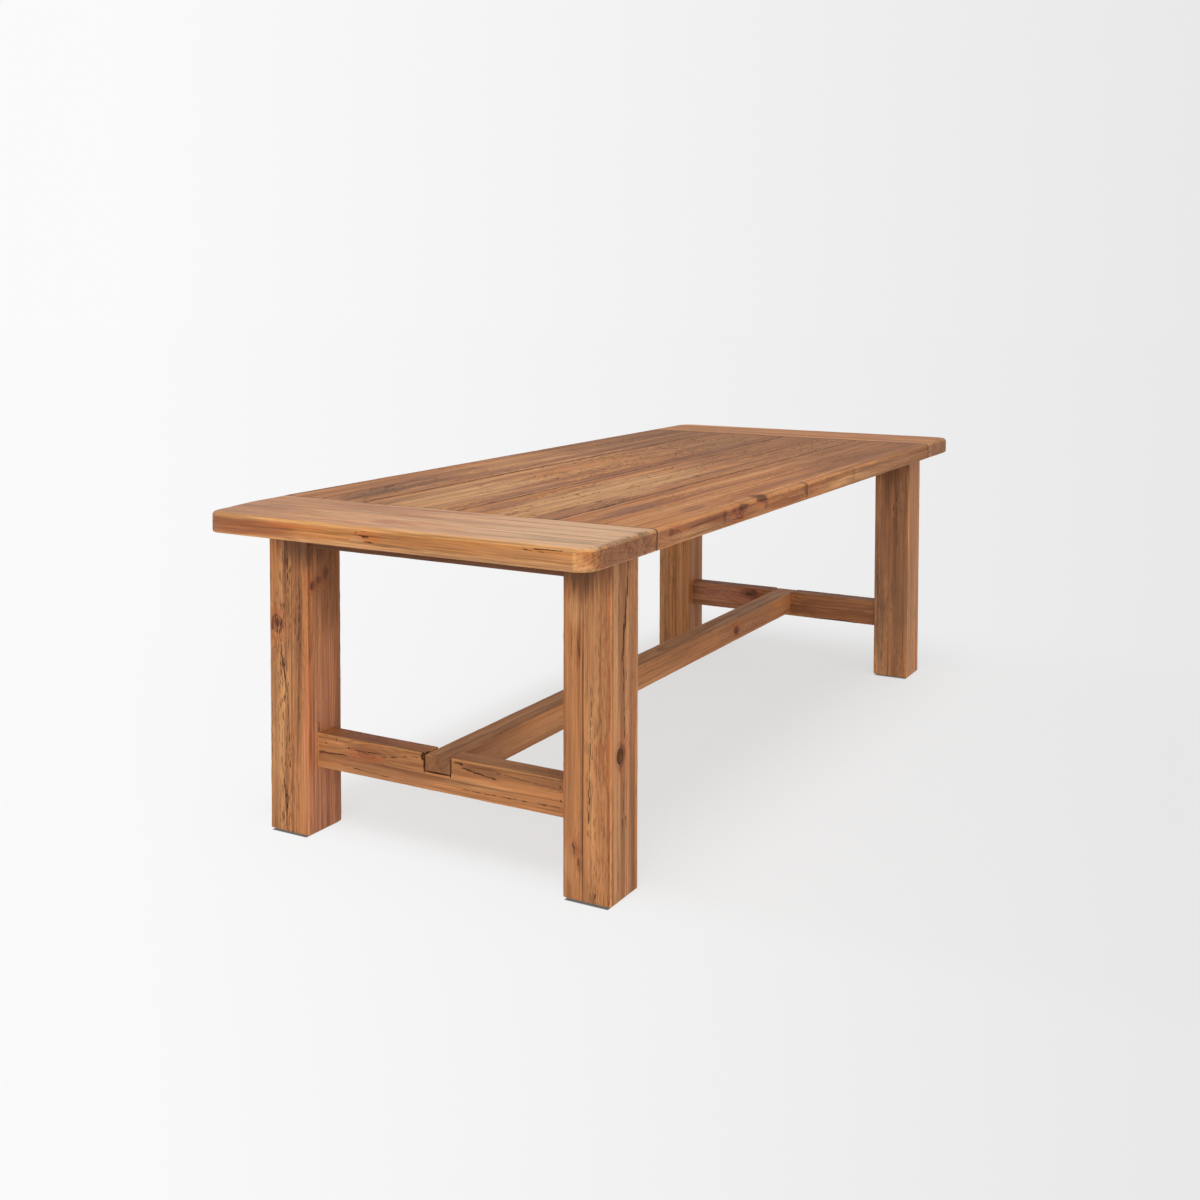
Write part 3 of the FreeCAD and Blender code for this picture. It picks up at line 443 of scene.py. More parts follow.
def brokenCrack(start, end, thick, inward, seed):
    # a long crack as a bundle of short torn strands; inward is the axis it goes in along
    chance = random.Random(seed)
    start, run = Vector(start), Vector(end) - Vector(start)
    along = max(range(3), key=lambda axis: abs(run[axis]))
    strands = max(1, round(thick / crackShape["strandStep"]))
    count = max(2, round(run.length / crackShape["strandLength"])) * strands
    hollows = []
    for i in range(count):
        middle = start + run * (i + 0.5 + chance.uniform(-0.8, 0.8)) / count
        size = [min(thick, crackShape["widest"]) * chance.uniform(0.5, 1.2)] * 3
        size[along] = run.length / count * strands * chance.uniform(0.3, 1.0)
        size[inward] = crackShape["depth"]
        for axis in range(3):
            if axis not in (along, inward):
                middle[axis] += thick * chance.uniform(-1.0, 1.0)
        hollows.append((middle, size))
    return hollows


def splitsOn(inward, face, *rows):
    # long cracks on one face, which lies at this place on its axis; a row is start, end and thickness
    splits = []
    for startA, startB, endA, endB, thick in rows:
        start, end = [startA, startB], [endA, endB]
        start.insert(inward, face)
        end.insert(inward, face)
        splits.append((start, end, thick, inward))
    return splits


def crossCut(board, steps):
    # cuts every face into small ones, so that the wear has points to move
    low, high = (Vector(map(pick, zip(*(v.co for v in board.data.vertices)))) for pick in (min, max))
    editAll(board)
    for axis, step in enumerate(steps):
        across = Vector((0, 0, 0))
        across[axis] = 1
        count = round((high[axis] - low[axis]) / step)
        for i in range(1, count):
            bpy.ops.mesh.select_all(action="SELECT")
            bpy.ops.mesh.bisect(plane_co=low + (high - low) * i / count, plane_no=across)
    bpy.ops.object.mode_set(mode="OBJECT")


wearShape = {"flatGrain": 0.09, "flatDepth": 0.0007, "arrisGrain": 0.03, "arrisDepth": 0.0016,
             "untouched": 1.0, "glueWidth": 0.0015, "slantCosine": 0.97, "levelCosine": 0.25,
             "contrast": 1.5, "smoothAngle": math.radians(32)}


def markArrises(board, glueLine, uprightArrises):
    # a point that faces slantwise sits on an arris: it wears most, and its paint is rubbed light;
    # an end board's upright corners are too round to be rubbed
    points = board.data.vertices
    carved = {i for face in board.data.polygons if face.material_index == 1 for i in face.vertices}
    glued = {p.index for p in points if glueLine and abs(p.co.y - glueLine) < wearShape["glueWidth"]}
    slant = {p.index for p in points if max(map(abs, p.normal)) < wearShape["slantCosine"]} - carved - glued
    flat = {p.index for p in points} - slant - carved - glued
    board.vertex_groups.new(name="arris").add(sorted(slant), 1.0, "REPLACE")
    board.vertex_groups.new(name="flat").add(sorted(flat), 1.0, "REPLACE")
    light = {i for i in slant if uprightArrises or abs(points[i].normal.z) > wearShape["levelCosine"]}
    rubbed = board.data.attributes.new("rubbed", "FLOAT", "POINT")
    rubbed.data.foreach_set("value", [float(p.index in light) for p in points])


def wearAway(board, groupName, grainSize, depth):
    # sinks a group of points unevenly into the wood; above the untouched share of the noise nothing is lost
    cloud = bpy.data.textures.new(f"{board.name}_{groupName}", "CLOUDS")
    cloud.noise_scale = grainSize
    cloud.contrast = wearShape["contrast"]
    sink = board.modifiers.new(groupName, "DISPLACE")
    sink.texture, sink.texture_coords, sink.vertex_group = cloud, "LOCAL", groupName
    sink.strength, sink.mid_level = depth, wearShape["untouched"]
    selectOnly(board)
    bpy.ops.object.modifier_apply(modifier=sink.name)


def finishBoard(board, nodeName):
    selectOnly(board)
    bpy.ops.object.shade_smooth_by_angle(angle=wearShape["smoothAngle"])
    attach(board, "root")
    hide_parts(nodeName)


def weatheredBoard(nodeName, look):
    material = pineMaterial("pine_" + nodeName, look)
    board = takeBoard(nodeName, material)
    hollows = list(look.get("cracks", ()))
    for number, (area, count, size) in enumerate(look.get("pitting", ())):
        hollows += scatterPits(area, count, size, look["seed"] * 10 + number)
    for number, split in enumerate(look.get("splits", ())):
        hollows += brokenCrack(*split, look["seed"] * 100 + number)
    if hollows:
        gouge(board, hollows, look["seed"])
    crossCut(board, look["steps"])
    markArrises(board, look.get("glueLine"), look.get("uprightArrises", True))
    wearAway(board, "flat", wearShape["flatGrain"], wearShape["flatDepth"])
    wearAway(board, "arris", wearShape["arrisGrain"], look.get("chipping", wearShape["arrisDepth"]))
    finishBoard(board, nodeName)


def paintNode(nodeName, material):
    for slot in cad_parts[nodeName].material_slots:
        slot.material = material


# The table top: four planks between two end boards.

plankMiddles = {"left_outer": 0.38, "left_inner": 0.129, "right_inner": -0.13, "right_outer": -0.379}
plankBasics = {"grain": "x", "steps": (0.012, 0.006, 0.011), "rings": 0.55, "dryness": 0.72, "bands": 0.5,
               "rubbed": 0.3, "seamWidth": 0.0044, "seamStrength": 0.85}
# painted shade: the planks are painted darker towards the far end of the top
farEndPaintedShade = ("umber", 0.55, (1.05, 0.0, 0.76), (1.0, 2.0, 0.5))
plankLooks = {
    "left_outer": {
        "seed": 1, "seams": (("y", 0.26), ("x", -0.928), ("x", 0.954)), "early": "tan", "streaks": 0.6,
        "pits": 0.6, "blotches": 0.35, "pith": (0, -0.05, -0.10), "ringWidth": 0.006,
        "patches": (("umber", 0.75, (-0.80, 0.33, 0.76), (0.14, 0.05, 0.05)),
                    ("greyBrown", 0.5, (-0.62, 0.35, 0.76), (0.22, 0.04, 0.05)),
                    ("straw", 0.35, (0.02, 0.38, 0.76), (0.40, 0.10, 0.05)), farEndPaintedShade),
        "pitting": ((((-0.90, 0.29, 0.76), (-0.451, 0.40, 0.76)), 45, (0.010, 0.0018, 0.0016)),),
    },
    "left_inner": {
        "seed": 2, "seams": (("y", 0.26), ("y", -0.002), ("x", -0.928), ("x", 0.954)), "streaks": 0.5,
        "pits": 0.9, "blotches": 0.2, "pith": (0, 0.06, -0.12), "ringWidth": 0.005, "late": "tan",
        "knots": (((0.424, 0.179, 0.76), (0.018, 0.010, 0.03)),
                  ((-0.625, 0.024, 0.76), (0.009, 0.006, 0.02))),
        "patches": (("purpleGrey", 0.55, (-0.60, 0.030, 0.76), (0.28, 0.025, 0.05)),
                    ("pale", 0.65, (-0.70, 0.14, 0.76), (0.34, 0.10, 0.05)),
                    ("redBrown", 0.35, (0.10, 0.03, 0.76), (0.40, 0.03, 0.05)), farEndPaintedShade),
        "pitting": ((((-0.65, 0.05, 0.76), (0.70, 0.24, 0.76)), 45, (0.009, 0.0016, 0.0015)),),
    },
    "right_inner": {
        "seed": 3, "seams": (("y", -0.258), ("y", -0.002), ("x", -0.928), ("x", 0.954)), "streaks": 0.5,
        "pits": 1.0, "blotches": 0.25, "pith": (0, -0.10, -0.09), "ringWidth": 0.0055, "late": "tan",
        "patches": (("purpleGrey", 0.45, (-0.82, -0.05, 0.76), (0.12, 0.04, 0.05)),
                    ("redBrown", 0.4, (-0.05, -0.02, 0.76), (0.45, 0.02, 0.05)),
                    ("pale", 0.7, (-0.50, -0.14, 0.76), (0.55, 0.09, 0.05)), farEndPaintedShade),
        "pitting": ((((-0.90, -0.22, 0.76), (0.10, -0.05, 0.76)), 60, (0.008, 0.0020, 0.0018)),),
    },
    "right_outer": {
        "seed": 4, "seams": (("y", -0.258), ("x", -0.928), ("x", 0.954)), "late": "redBrown",
        "rings": 0.5, "streaks": 0.4, "pits": 0.4, "blotches": 0.4, "blotchTone": "redBrown",
        "pith": (0, -0.16, -0.07), "ringWidth": 0.006,
        "knotStrength": 0.7,
        "knots": (((-0.843, -0.50, 0.735), (0.026, 0.03, 0.012)),
                  ((-0.518, -0.50, 0.737), (0.020, 0.03, 0.013)),
                  ((-0.545, -0.50, 0.746), (0.020, 0.03, 0.006)),
                  ((-0.38, -0.50, 0.752), (0.020, 0.03, 0.008))),
        "splits": splitsOn(1, -0.50, (-0.101, 0.755, -0.103, 0.720, 0.0018),
                           (-0.420, 0.752, -0.360, 0.749, 0.0012),
                           (-0.560, 0.728, -0.500, 0.724, 0.0010)),
        "patches": (("purpleGrey", 0.6, (-0.75, -0.33, 0.76), (0.16, 0.03, 0.05)),
                    ("redBrown", 0.4, (-0.55, -0.34, 0.76), (0.09, 0.03, 0.05)),
                    ("purpleGrey", 0.5, (-0.64, -0.44, 0.76), (0.07, 0.02, 0.05)),
                    ("redBrown", 0.3, (-0.28, -0.44, 0.76), (0.20, 0.03, 0.05)),
                    ("heart", 0.75, (-0.50, -0.50, 0.748), (0.035, 0.03, 0.010)),
                    ("heart", 0.75, (-0.39, -0.49, 0.757), (0.035, 0.03, 0.008)),
                    ("heart", 0.5, (-0.365, -0.50, 0.735), (0.014, 0.03, 0.012)),
                    ("heart", 0.6, (-0.105, -0.50, 0.745), (0.016, 0.03, 0.020)),
                    ("redBrown", 0.6, (-0.68, -0.50, 0.738), (0.11, 0.02, 0.014)),
                    ("redBrown", 0.6, (-0.27, -0.50, 0.730), (0.12, 0.02, 0.012)),
                    ("redBrown", 0.35, (-0.08, -0.50, 0.738), (0.18, 0.02, 0.018)),
                    ("heart", 0.5, (-0.60, -0.50, 0.740), (0.010, 0.03, 0.016)),
                    ("heart", 0.5, (-0.865, -0.50, 0.744), (0.012, 0.03, 0.010)),
                    ("heart", 0.4, (0.250, -0.50, 0.742), (0.014, 0.03, 0.016)),
                    ("straw", 0.55, (-0.76, -0.50, 0.724), (0.16, 0.02, 0.014)),
                    ("straw", 0.45, (0.45, -0.50, 0.735), (0.45, 0.02, 0.020)), farEndPaintedShade),
    },
}
for name, ownLook in plankLooks.items():
    middle = (0.013, plankMiddles[name], 0.7375)
    weatheredBoard(f"plank_{name}", plankBasics | {"middle": middle, "slot": f"plank_{name}"} | ownLook)

endBoardBasics = {"grain": "y", "steps": (0.007, 0.012, 0.009), "chipping": 0.0011, "uprightArrises": False}
endBoardLooks = {
    "end_board_near": {
        "slot": "end_board_near", "middle": (-1.064, 0.0, 0.7375), "seed": 5,
        "seams": (("x", -0.928),), "seamStrength": 0.5, "seamWidth": 0.003, "early": "amber",
        "late": "redBrown", "rings": 0.7, "streaks": 0.65, "pits": 0.4, "blotches": 0.35,
        "blotchTone": "brown", "bands": 0.45, "bandTone": "redBrown", "pith": (0, 0.05, -0.16),
        "ringWidth": 0.007,
        "rubbed": 0.85, "dryness": 0.5,
        "patches": (("honey", 0.65, (-1.20, -0.12, 0.735), (0.10, 0.60, 0.030)),
                    ("gold", 0.45, (-1.20, -0.10, 0.742), (0.05, 0.50, 0.024)),
                    ("redBrown", 0.75, (-1.20, 0.38, 0.735), (0.03, 0.18, 0.022)),
                    ("straw", 0.4, (-1.20, -0.34, 0.737), (0.05, 0.17, 0.012)),
                    ("brown", 0.45, (-1.20, -0.22, 0.739), (0.03, 0.24, 0.007)),
                    ("orange", 0.6, (-1.20, 0.22, 0.745), (0.03, 0.10, 0.004)),
                    ("orange", 0.6, (-1.20, 0.03, 0.741), (0.03, 0.040, 0.012)),
                    ("straw", 0.6, (-1.20, 0.055, 0.733), (0.03, 0.025, 0.009)),
                    ("straw", 0.7, (-1.20, -0.22, 0.721), (0.03, 0.50, 0.008)),
                    ("oldGold", 0.6, (-1.064, 0.36, 0.7645), (0.30, 0.50, 0.0105)),
                    ("dryStraw", 0.75, (-1.064, -0.36, 0.7645), (0.40, 0.62, 0.0105)),
                    ("dryStraw", 0.65, (-1.064, -0.42, 0.7645), (0.30, 0.38, 0.0105)),
                    ("bleached", 0.5, (-1.064, -0.40, 0.7645), (0.30, 0.28, 0.0105)),
                    ("redBrown", 0.4, (-0.985, 0.20, 0.7645), (0.030, 0.22, 0.0105)),
                    ("brown", 0.4, (-1.10, 0.36, 0.7645), (0.022, 0.16, 0.0105)),
                    ("brown", 0.30, (-1.05, -0.05, 0.7645), (0.012, 0.30, 0.0105)),
                    ("rubbed", 0.75, (-1.200, 0.0, 0.7600), (0.013, 3.0, 0.0095)),
                    ("rubbed", 0.7, (-1.199, -0.466, 0.735), (0.010, 0.004, 0.030)),
                    ("brown", 0.35, (-1.12, 0.46, 0.75), (0.16, 0.16, 0.06)),
                    # painted shade: the right side face of the board is painted darker
                    ("umber", 0.65, (-1.05, -0.505, 0.7375), (0.16, 0.022, 0.05))),
        "splits": splitsOn(0, -1.20, (-0.370, 0.752, -0.445, 0.754, 0.0011),
                           (-0.345, 0.749, -0.390, 0.748, 0.0008), (0.045, 0.741, 0.020, 0.740, 0.0014),
                           (0.055, 0.748, 0.035, 0.750, 0.0010), (0.030, 0.730, 0.005, 0.727, 0.0009)),
    },
    "end_board_far": {
        "slot": "end_board_far", "middle": (1.077, 0.0, 0.7375), "seed": 6,
        "seams": (("x", 0.954),), "rings": 0.5, "streaks": 0.35, "pits": 0.2, "blotches": 0.3, "bands": 0.3,
        "pith": (0, -0.04, -0.15), "ringWidth": 0.006, "dryness": 0.65,
        # painted shade: the right side face of the board is painted darker
        "patches": (("umber", 0.65, (1.08, -0.505, 0.7375), (0.16, 0.022, 0.05)),),
    },
}
for nodeName, ownLook in endBoardLooks.items():
    weatheredBoard(nodeName, endBoardBasics | ownLook)
print("table top made")


# The legs: 114 mm square, each glued up from two staves.

legPlaces = {"near": -0.972, "far": 0.972, "left": 0.394, "right": -0.394}
legBasics = {"grain": "z", "steps": (0.0065, 0.0065, 0.009), "ringWidth": 0.0045, "rings": 0.6,
             "streaks": 0.55, "blotches": 0.25, "bands": 0.4, "bandTone": "umber", "rubbed": 0.65,
             "seamStrength": 0.3, "seamWidth": 0.0016}
glueLine = 0.385
staveLooks = {
    "leg_near_left_outer_stave": {
        "seed": 11, "pits": 0.8, "seamStrength": 0.15, "pith": (0, 0.03, 0.14),
        "knots": (((-1.029, 0.427, 0.480), (0.03, 0.017, 0.020)),), "knotStrength": 1.0,
        "splits": splitsOn(0, -1.029, (0.397, 0.650, 0.395, 0.560, 0.0011),
                           (0.417, 0.420, 0.400, 0.335, 0.0024), (0.408, 0.395, 0.404, 0.350, 0.0016),
                           (0.396, 0.320, 0.391, 0.150, 0.0008), (0.408, 0.120, 0.401, 0.045, 0.0019),
                           (0.404, 0.105, 0.398, 0.060, 0.0012)),
        "pitting": ((((-1.029, 0.391, 0.05), (-1.029, 0.409, 0.66)), 22, (0.0012, 0.0008, 0.007)),),
        "patches": (("brown", 0.6, (-1.029, 0.400, 0.50), (0.02, 0.014, 0.16)),
                    ("brown", 0.6, (-1.029, 0.400, 0.20), (0.02, 0.011, 0.17)),
                    ("straw", 0.45, (-1.029, 0.432, 0.20), (0.02, 0.016, 0.24))),
    },
    "leg_near_left_inner_stave": {
        "seed": 12, "late": "redBrown", "pits": 0.3, "pith": (0, -0.10, 0.05), "seamStrength": 0.15,
        "knots": (((-1.010, 0.337, 0.574), (0.009, 0.02, 0.009)),
                  ((-0.992, 0.337, 0.584), (0.007, 0.02, 0.009)),
                  ((-0.968, 0.337, 0.594), (0.009, 0.02, 0.014))),
        "knotHeart": 0.7,
        "splits": (*splitsOn(1, 0.337, (-0.995, 0.262, -0.993, 0.236, 0.0016),
                             (-0.955, 0.570, -0.962, 0.500, 0.0007)),
                   *splitsOn(0, -1.029, (0.360, 0.560, 0.364, 0.440, 0.0008),
                             (0.368, 0.330, 0.361, 0.265, 0.0007))),
        "patches": (("brown", 0.6, (-1.029, 0.366, 0.45), (0.02, 0.014, 0.30)),
                    ("rose", 0.5, (-0.972, 0.337, 0.16), (0.08, 0.02, 0.42)),
                    ("orange", 0.4, (-1.027, 0.339, 0.35), (0.012, 0.008, 0.40)),
                    # painted shade: the upper part of the inner face is painted darker under the table top
                    ("umber", 0.55, (-0.955, 0.337, 0.60), (0.05, 0.02, 0.16)),
                    ("umber", 0.4, (-0.925, 0.337, 0.20), (0.018, 0.02, 0.30))),
        "pitting": ((((-1.029, 0.352, 0.38), (-1.029, 0.374, 0.62)), 16, (0.0013, 0.0009, 0.008)),),
    },
    "leg_near_right_outer_stave": {
        "seed": 13, "pits": 0.35, "pith": (0, -0.02, 0.13), "seamStrength": 0.7, "knotHeart": 0.75,
        "knots": (((-0.994, -0.451, 0.304), (0.019, 0.03, 0.027)),),
        "cracks": (((-0.994, -0.451, 0.304), (0.0145, 0.008, 0.0175)),
                   ((-0.9625, -0.451, 0.665), (0.0018, 0.006, 0.050)),
                   ((-0.9710, -0.451, 0.600), (0.0016, 0.006, 0.045)),
                   ((-0.9800, -0.451, 0.540), (0.0030, 0.006, 0.036))),
        "splits": (*splitsOn(1, -0.451, (-0.958, 0.700, -0.974, 0.570, 0.0020),
                             (-0.974, 0.570, -0.983, 0.500, 0.0030),
                             (-0.980, 0.500, -0.975, 0.335, 0.0014),
                             (-0.977, 0.240, -0.982, 0.130, 0.0008)),
                   *splitsOn(0, -1.029, (-0.405, 0.415, -0.399, 0.230, 0.0007),
                             (-0.400, 0.240, -0.398, 0.145, 0.0010),
                             (-0.414, 0.028, -0.409, 0.002, 0.0015))),
        "pitting": ((((-1.029, -0.422, 0.16), (-1.029, -0.393, 0.42)), 16, (0.0012, 0.0006, 0.004)),
                    (((-1.000, -0.451, 0.08), (-0.950, -0.451, 0.60)), 14, (0.0008, 0.0012, 0.007))),
        "patches": (("brown", 0.5, (-0.940, -0.451, 0.30), (0.014, 0.02, 0.45)),
                    ("straw", 0.5, (-1.010, -0.451, 0.35), (0.018, 0.02, 0.50)),
                    ("orange", 0.3, (-1.027, -0.449, 0.35), (0.010, 0.010, 0.40))),
    },
    "leg_near_right_inner_stave": {
        "seed": 14, "late": "tan", "pits": 0.3, "seamStrength": 0.7, "pith": (0, 0.08, 0.09),
        "knots": (((-1.029, -0.363, 0.112), (0.02, 0.009, 0.012)),), "knotStrength": 0.4,
        "splits": splitsOn(0, -1.029, (-0.374, 0.530, -0.377, 0.500, 0.0009),
                           (-0.358, 0.119, -0.364, 0.111, 0.0022),
                           (-0.360, 0.115, -0.374, 0.082, 0.0010)),
        "patches": (("straw", 0.6, (-1.029, -0.362, 0.60), (0.02, 0.020, 0.045)),
                    ("redBrown", 0.5, (-1.029, -0.375, 0.52), (0.02, 0.008, 0.05)),
                    ("brown", 0.5, (-1.029, -0.366, 0.105), (0.02, 0.018, 0.014)),
                    ("redBrown", 0.5, (-1.029, -0.376, 0.078), (0.02, 0.008, 0.022)),
                    ("redBrown", 0.5, (-1.029, -0.338, 0.30), (0.012, 0.006, 0.45)),
                    ("straw", 0.4, (-1.029, -0.350, 0.08), (0.02, 0.012, 0.05))),
    },
    "leg_far_left_outer_stave": {"seed": 15, "pits": 0.3, "pith": (0, 0.04, 0.15)},
    "leg_far_left_inner_stave": {"seed": 16, "pits": 0.2, "pith": (0, -0.09, 0.12)},
    "leg_far_right_outer_stave": {
        "seed": 17, "early": "tan", "late": "brown", "pits": 0.4, "pith": (0, -0.12, 0.09),
        # the front face is painted grey-brown: partly the leg's colour, partly painted shade under the
        # table top
        "patches": (("greyBrown", 0.55, (0.905, -0.42, 0.35), (0.02, 0.06, 0.50)),),
        "splits": splitsOn(0, 0.915, (-0.410, 0.600, -0.413, 0.420, 0.0011),
                           (-0.400, 0.560, -0.402, 0.470, 0.0008)),
    },
    "leg_far_right_inner_stave": {
        "seed": 18, "early": "tan", "late": "brown", "pits": 0.5, "pith": (0, 0.03, 0.14),
        # the front face is painted grey-brown: partly the leg's colour, partly painted shade under the
        # table top
        "patches": (("greyBrown", 0.55, (0.905, -0.36, 0.35), (0.02, 0.06, 0.50)),),
    },
}
for nodeName, ownLook in staveLooks.items():
    end, side, layer = nodeName.split("_")[1:4]
    middle = (legPlaces[end], legPlaces[side], 0.359)
    ownGlueLine = math.copysign(glueLine, middle[1])
    # painted shade: the top of each leg is painted darker under the table top, more on the near legs
    legTopShadeMiddle = (middle[0] - 0.05, middle[1] - math.copysign(0.05, middle[1]), 0.713)
    legTopPaintedShade = ("umber", 0.9 if end == "near" else 0.5, legTopShadeMiddle, (0.12, 0.12, 0.092))
    look = legBasics | {"middle": middle, "seams": (("y", ownGlueLine),), "glueLine": ownGlueLine,
                        "slot": f"leg_{layer}_staves"} | ownLook
    weatheredBoard(nodeName, look | {"patches": (*look.get("patches", ()), legTopPaintedShade)})
print("legs made")


# Stretchers and aprons.

railBasics = {"ringWidth": 0.005, "rings": 0.6, "streaks": 0.55, "blotches": 0.3, "bands": 0.4,
              "bandTone": "umber"}
endStretcherBasics = {"slot": "end_stretchers", "grain": "y", "steps": (0.0065, 0.009, 0.0065), "pits": 0.5}
apronBasics = {"slot": "aprons", "grain": "y", "steps": (0.01, 0.02, 0.01), "early": "tan",
               "late": "redBrown", "pits": 0.3, "rubbed": 0.2}
railLooks = {
    "end_stretcher_near": {
        **endStretcherBasics, "middle": (-0.972, 0.0, 0.194), "seed": 21, "pith": (0, 0.10, 0.05),
        "rubbed": 0.7,
        "cracks": (((-0.999, 0.311, 0.214), (0.004, 0.0018, 0.0018)),
                   ((-0.999, 0.281, 0.226), (0.004, 0.0022, 0.0018)),
                   ((-0.999, 0.245, 0.212), (0.004, 0.0022, 0.0022)),
                   ((-0.999, -0.313, 0.218), (0.004, 0.002, 0.002)),
                   ((-0.999, -0.315, 0.189), (0.004, 0.002, 0.002)),
                   ((-0.999, 0.039, 0.226), (0.012, 0.005, 0.009)),
                   ((-0.999, 0.0348, 0.214), (0.040, 0.0026, 0.024)),
                   ((-0.999, -0.0352, 0.214), (0.040, 0.0034, 0.024)),
                   ((-0.999, 0.0, 0.1953), (0.008, 0.036, 0.0022))),
        "splits": splitsOn(0, -0.999, (0.334, 0.191, 0.266, 0.194, 0.0017),
                           (0.230, 0.209, 0.150, 0.213, 0.0009), (0.150, 0.206, 0.062, 0.222, 0.0010),
                           (0.215, 0.216, 0.190, 0.203, 0.0008), (0.256, 0.170, 0.130, 0.164, 0.0006),
                           (-0.058, 0.226, -0.085, 0.215, 0.0015),
                           (-0.085, 0.215, -0.125, 0.210, 0.0015),
                           (-0.125, 0.210, -0.152, 0.206, 0.0009),
                           (-0.145, 0.222, -0.275, 0.214, 0.0008),
                           (-0.070, 0.171, -0.312, 0.174, 0.0008)),
        "knots": (((-0.999, 0.197, 0.204), (0.02, 0.024, 0.008)),
                  ((-0.975, 0.185, 0.234), (0.012, 0.03, 0.02))),
        "knotHeart": 0.0, "knotStrength": 0.4,
        "patches": (("umber", 0.5, (-0.999, 0.16, 0.215), (0.02, 0.09, 0.010)),
                    ("umber", 0.5, (-0.999, -0.11, 0.218), (0.02, 0.06, 0.012)),
                    ("straw", 0.4, (-0.999, -0.10, 0.185), (0.02, 0.10, 0.010)),
                    ("brown", 0.5, (-0.975, 0.20, 0.236), (0.03, 0.14, 0.006)),
                    # painted light: the right part of the top face is painted paler
                    ("pale", 0.8, (-0.965, -0.19, 0.237), (0.05, 0.22, 0.006))),
    },
    "end_stretcher_far": {
        **endStretcherBasics, "middle": (0.972, 0.0, 0.194), "seed": 22, "pith": (0, -0.12, -0.03),
        "early": "tan", "late": "redBrown", "rubbed": 0.5,
        "knots": (((0.946, 0.120, 0.212), (0.02, 0.034, 0.018)),), "knotHeart": 0.8,
        "cracks": (((0.946, -0.20, 0.154), (0.006, 0.075, 0.006)),
                   ((0.946, 0.120, 0.212), (0.004, 0.013, 0.006))),
        "patches": (("rose", 0.4, (0.946, 0.20, 0.195), (0.02, 0.12, 0.05)),
                    ("umber", 0.45, (0.946, -0.17, 0.195), (0.02, 0.18, 0.05))),
    },
    "long_stretcher": {
        "slot": "long_stretcher", "grain": "x", "middle": (0.0, 0.0, 0.199), "seed": 23,
        "steps": (0.012, 0.0065, 0.0065), "late": "redBrown", "rings": 0.8, "ringWidth": 0.0042,
        "streaks": 0.25, "bands": 0.2, "pits": 0.2, "pith": (0, -0.012, 0.11), "rubbed": 0.35,
        "knots": (((0.500, -0.034, 0.197), (0.018, 0.02, 0.014)),), "knotHeart": 0.8,
        "cracks": (((0.500, -0.034, 0.197), (0.006, 0.003, 0.008)),
                   ((-0.798, -0.031, 0.232), (0.0025, 0.0025, 0.003))),
        "patches": (("umber", 0.7, (-1.003, 0.0, 0.215), (0.016, 0.08, 0.05)),
                    # painted light: the top face of the long stretcher is painted lighter
                    ("pale", 0.8, (0.0, 0.0, 0.2345), (1.30, 0.06, 0.006)),
                    ("straw", 0.8, (-0.78, 0.0, 0.2345), (0.35, 0.06, 0.006))),
    },
    "apron_near": {
        **apronBasics, "middle": (-1.003, 0.0, 0.69), "seed": 24, "pith": (0, 0.12, 0.0),
        # painted shade: the near apron is painted dark where the table top shades it
        "patches": (("pit", 0.6, (-1.024, 0.0, 0.690), (0.03, 1.0, 0.08)),),
    },
    "apron_far": {**apronBasics, "middle": (1.003, 0.0, 0.69), "seed": 25, "pith": (0, 0.10, 0.02)},
}
for nodeName, ownLook in railLooks.items():
    weatheredBoard(nodeName, railBasics | ownLook)
print("stretchers and aprons made")


# What the table holds inside keeps its exact solids.

hiddenRails = {"bearer_left": ("x", 31), "bearer_right": ("x", 32), "batten_near": ("y", 33),
               "batten_middle": ("y", 34), "batten_far": ("y", 35)}
for nodeName, (grain, seed) in hiddenRails.items():
    low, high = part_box(nodeName)
    middle = (Vector(low) + Vector(high)) / 2
    paintNode(nodeName, pineMaterial("pine_" + nodeName, {
        "grain": grain, "middle": middle, "seed": seed, "early": "straw", "late": "tan", "rings": 0.5,
        "streaks": 0.25, "pits": 0.1, "blotches": 0.2, "pith": (0, 0.05, -0.06), "rubbed": 0.0}))


def fittingMaterial(name, look):
    # turned, rolled or moulded fittings: mottled colour with fine scratches
    material, tree, place = startMaterial(name)
    mottle = noise(tree, place, [look["mottle"]] * 3, 4.0, 0.6)
    scratch = noise(tree, place, look["scratch"], 2.0)
    share = calc(tree, "MULTIPLY_ADD", mottle, 1.6, 0.5, clamp=True)
    paint = mixPaint(tree, share, look["paint"], look["stain"])
    scratched = calc(tree, "MULTIPLY_ADD", scratch, look["scratchPaint"], 1.0)
    paint = vectorCalc(tree, "SCALE", paint, scale=scratched)
    rough = calc(tree, "MULTIPLY_ADD", mottle, 0.35, look["roughness"], clamp=True)
    bump = addNode(tree, "Bump", {"Height": scratch, "Strength": 0.4, "Distance": 0.0004}).outputs[0]
    return finishMaterial(material, tree, {
        "Base Color": paint, "Metallic": look["metal"], "Roughness": rough, "Normal": bump})


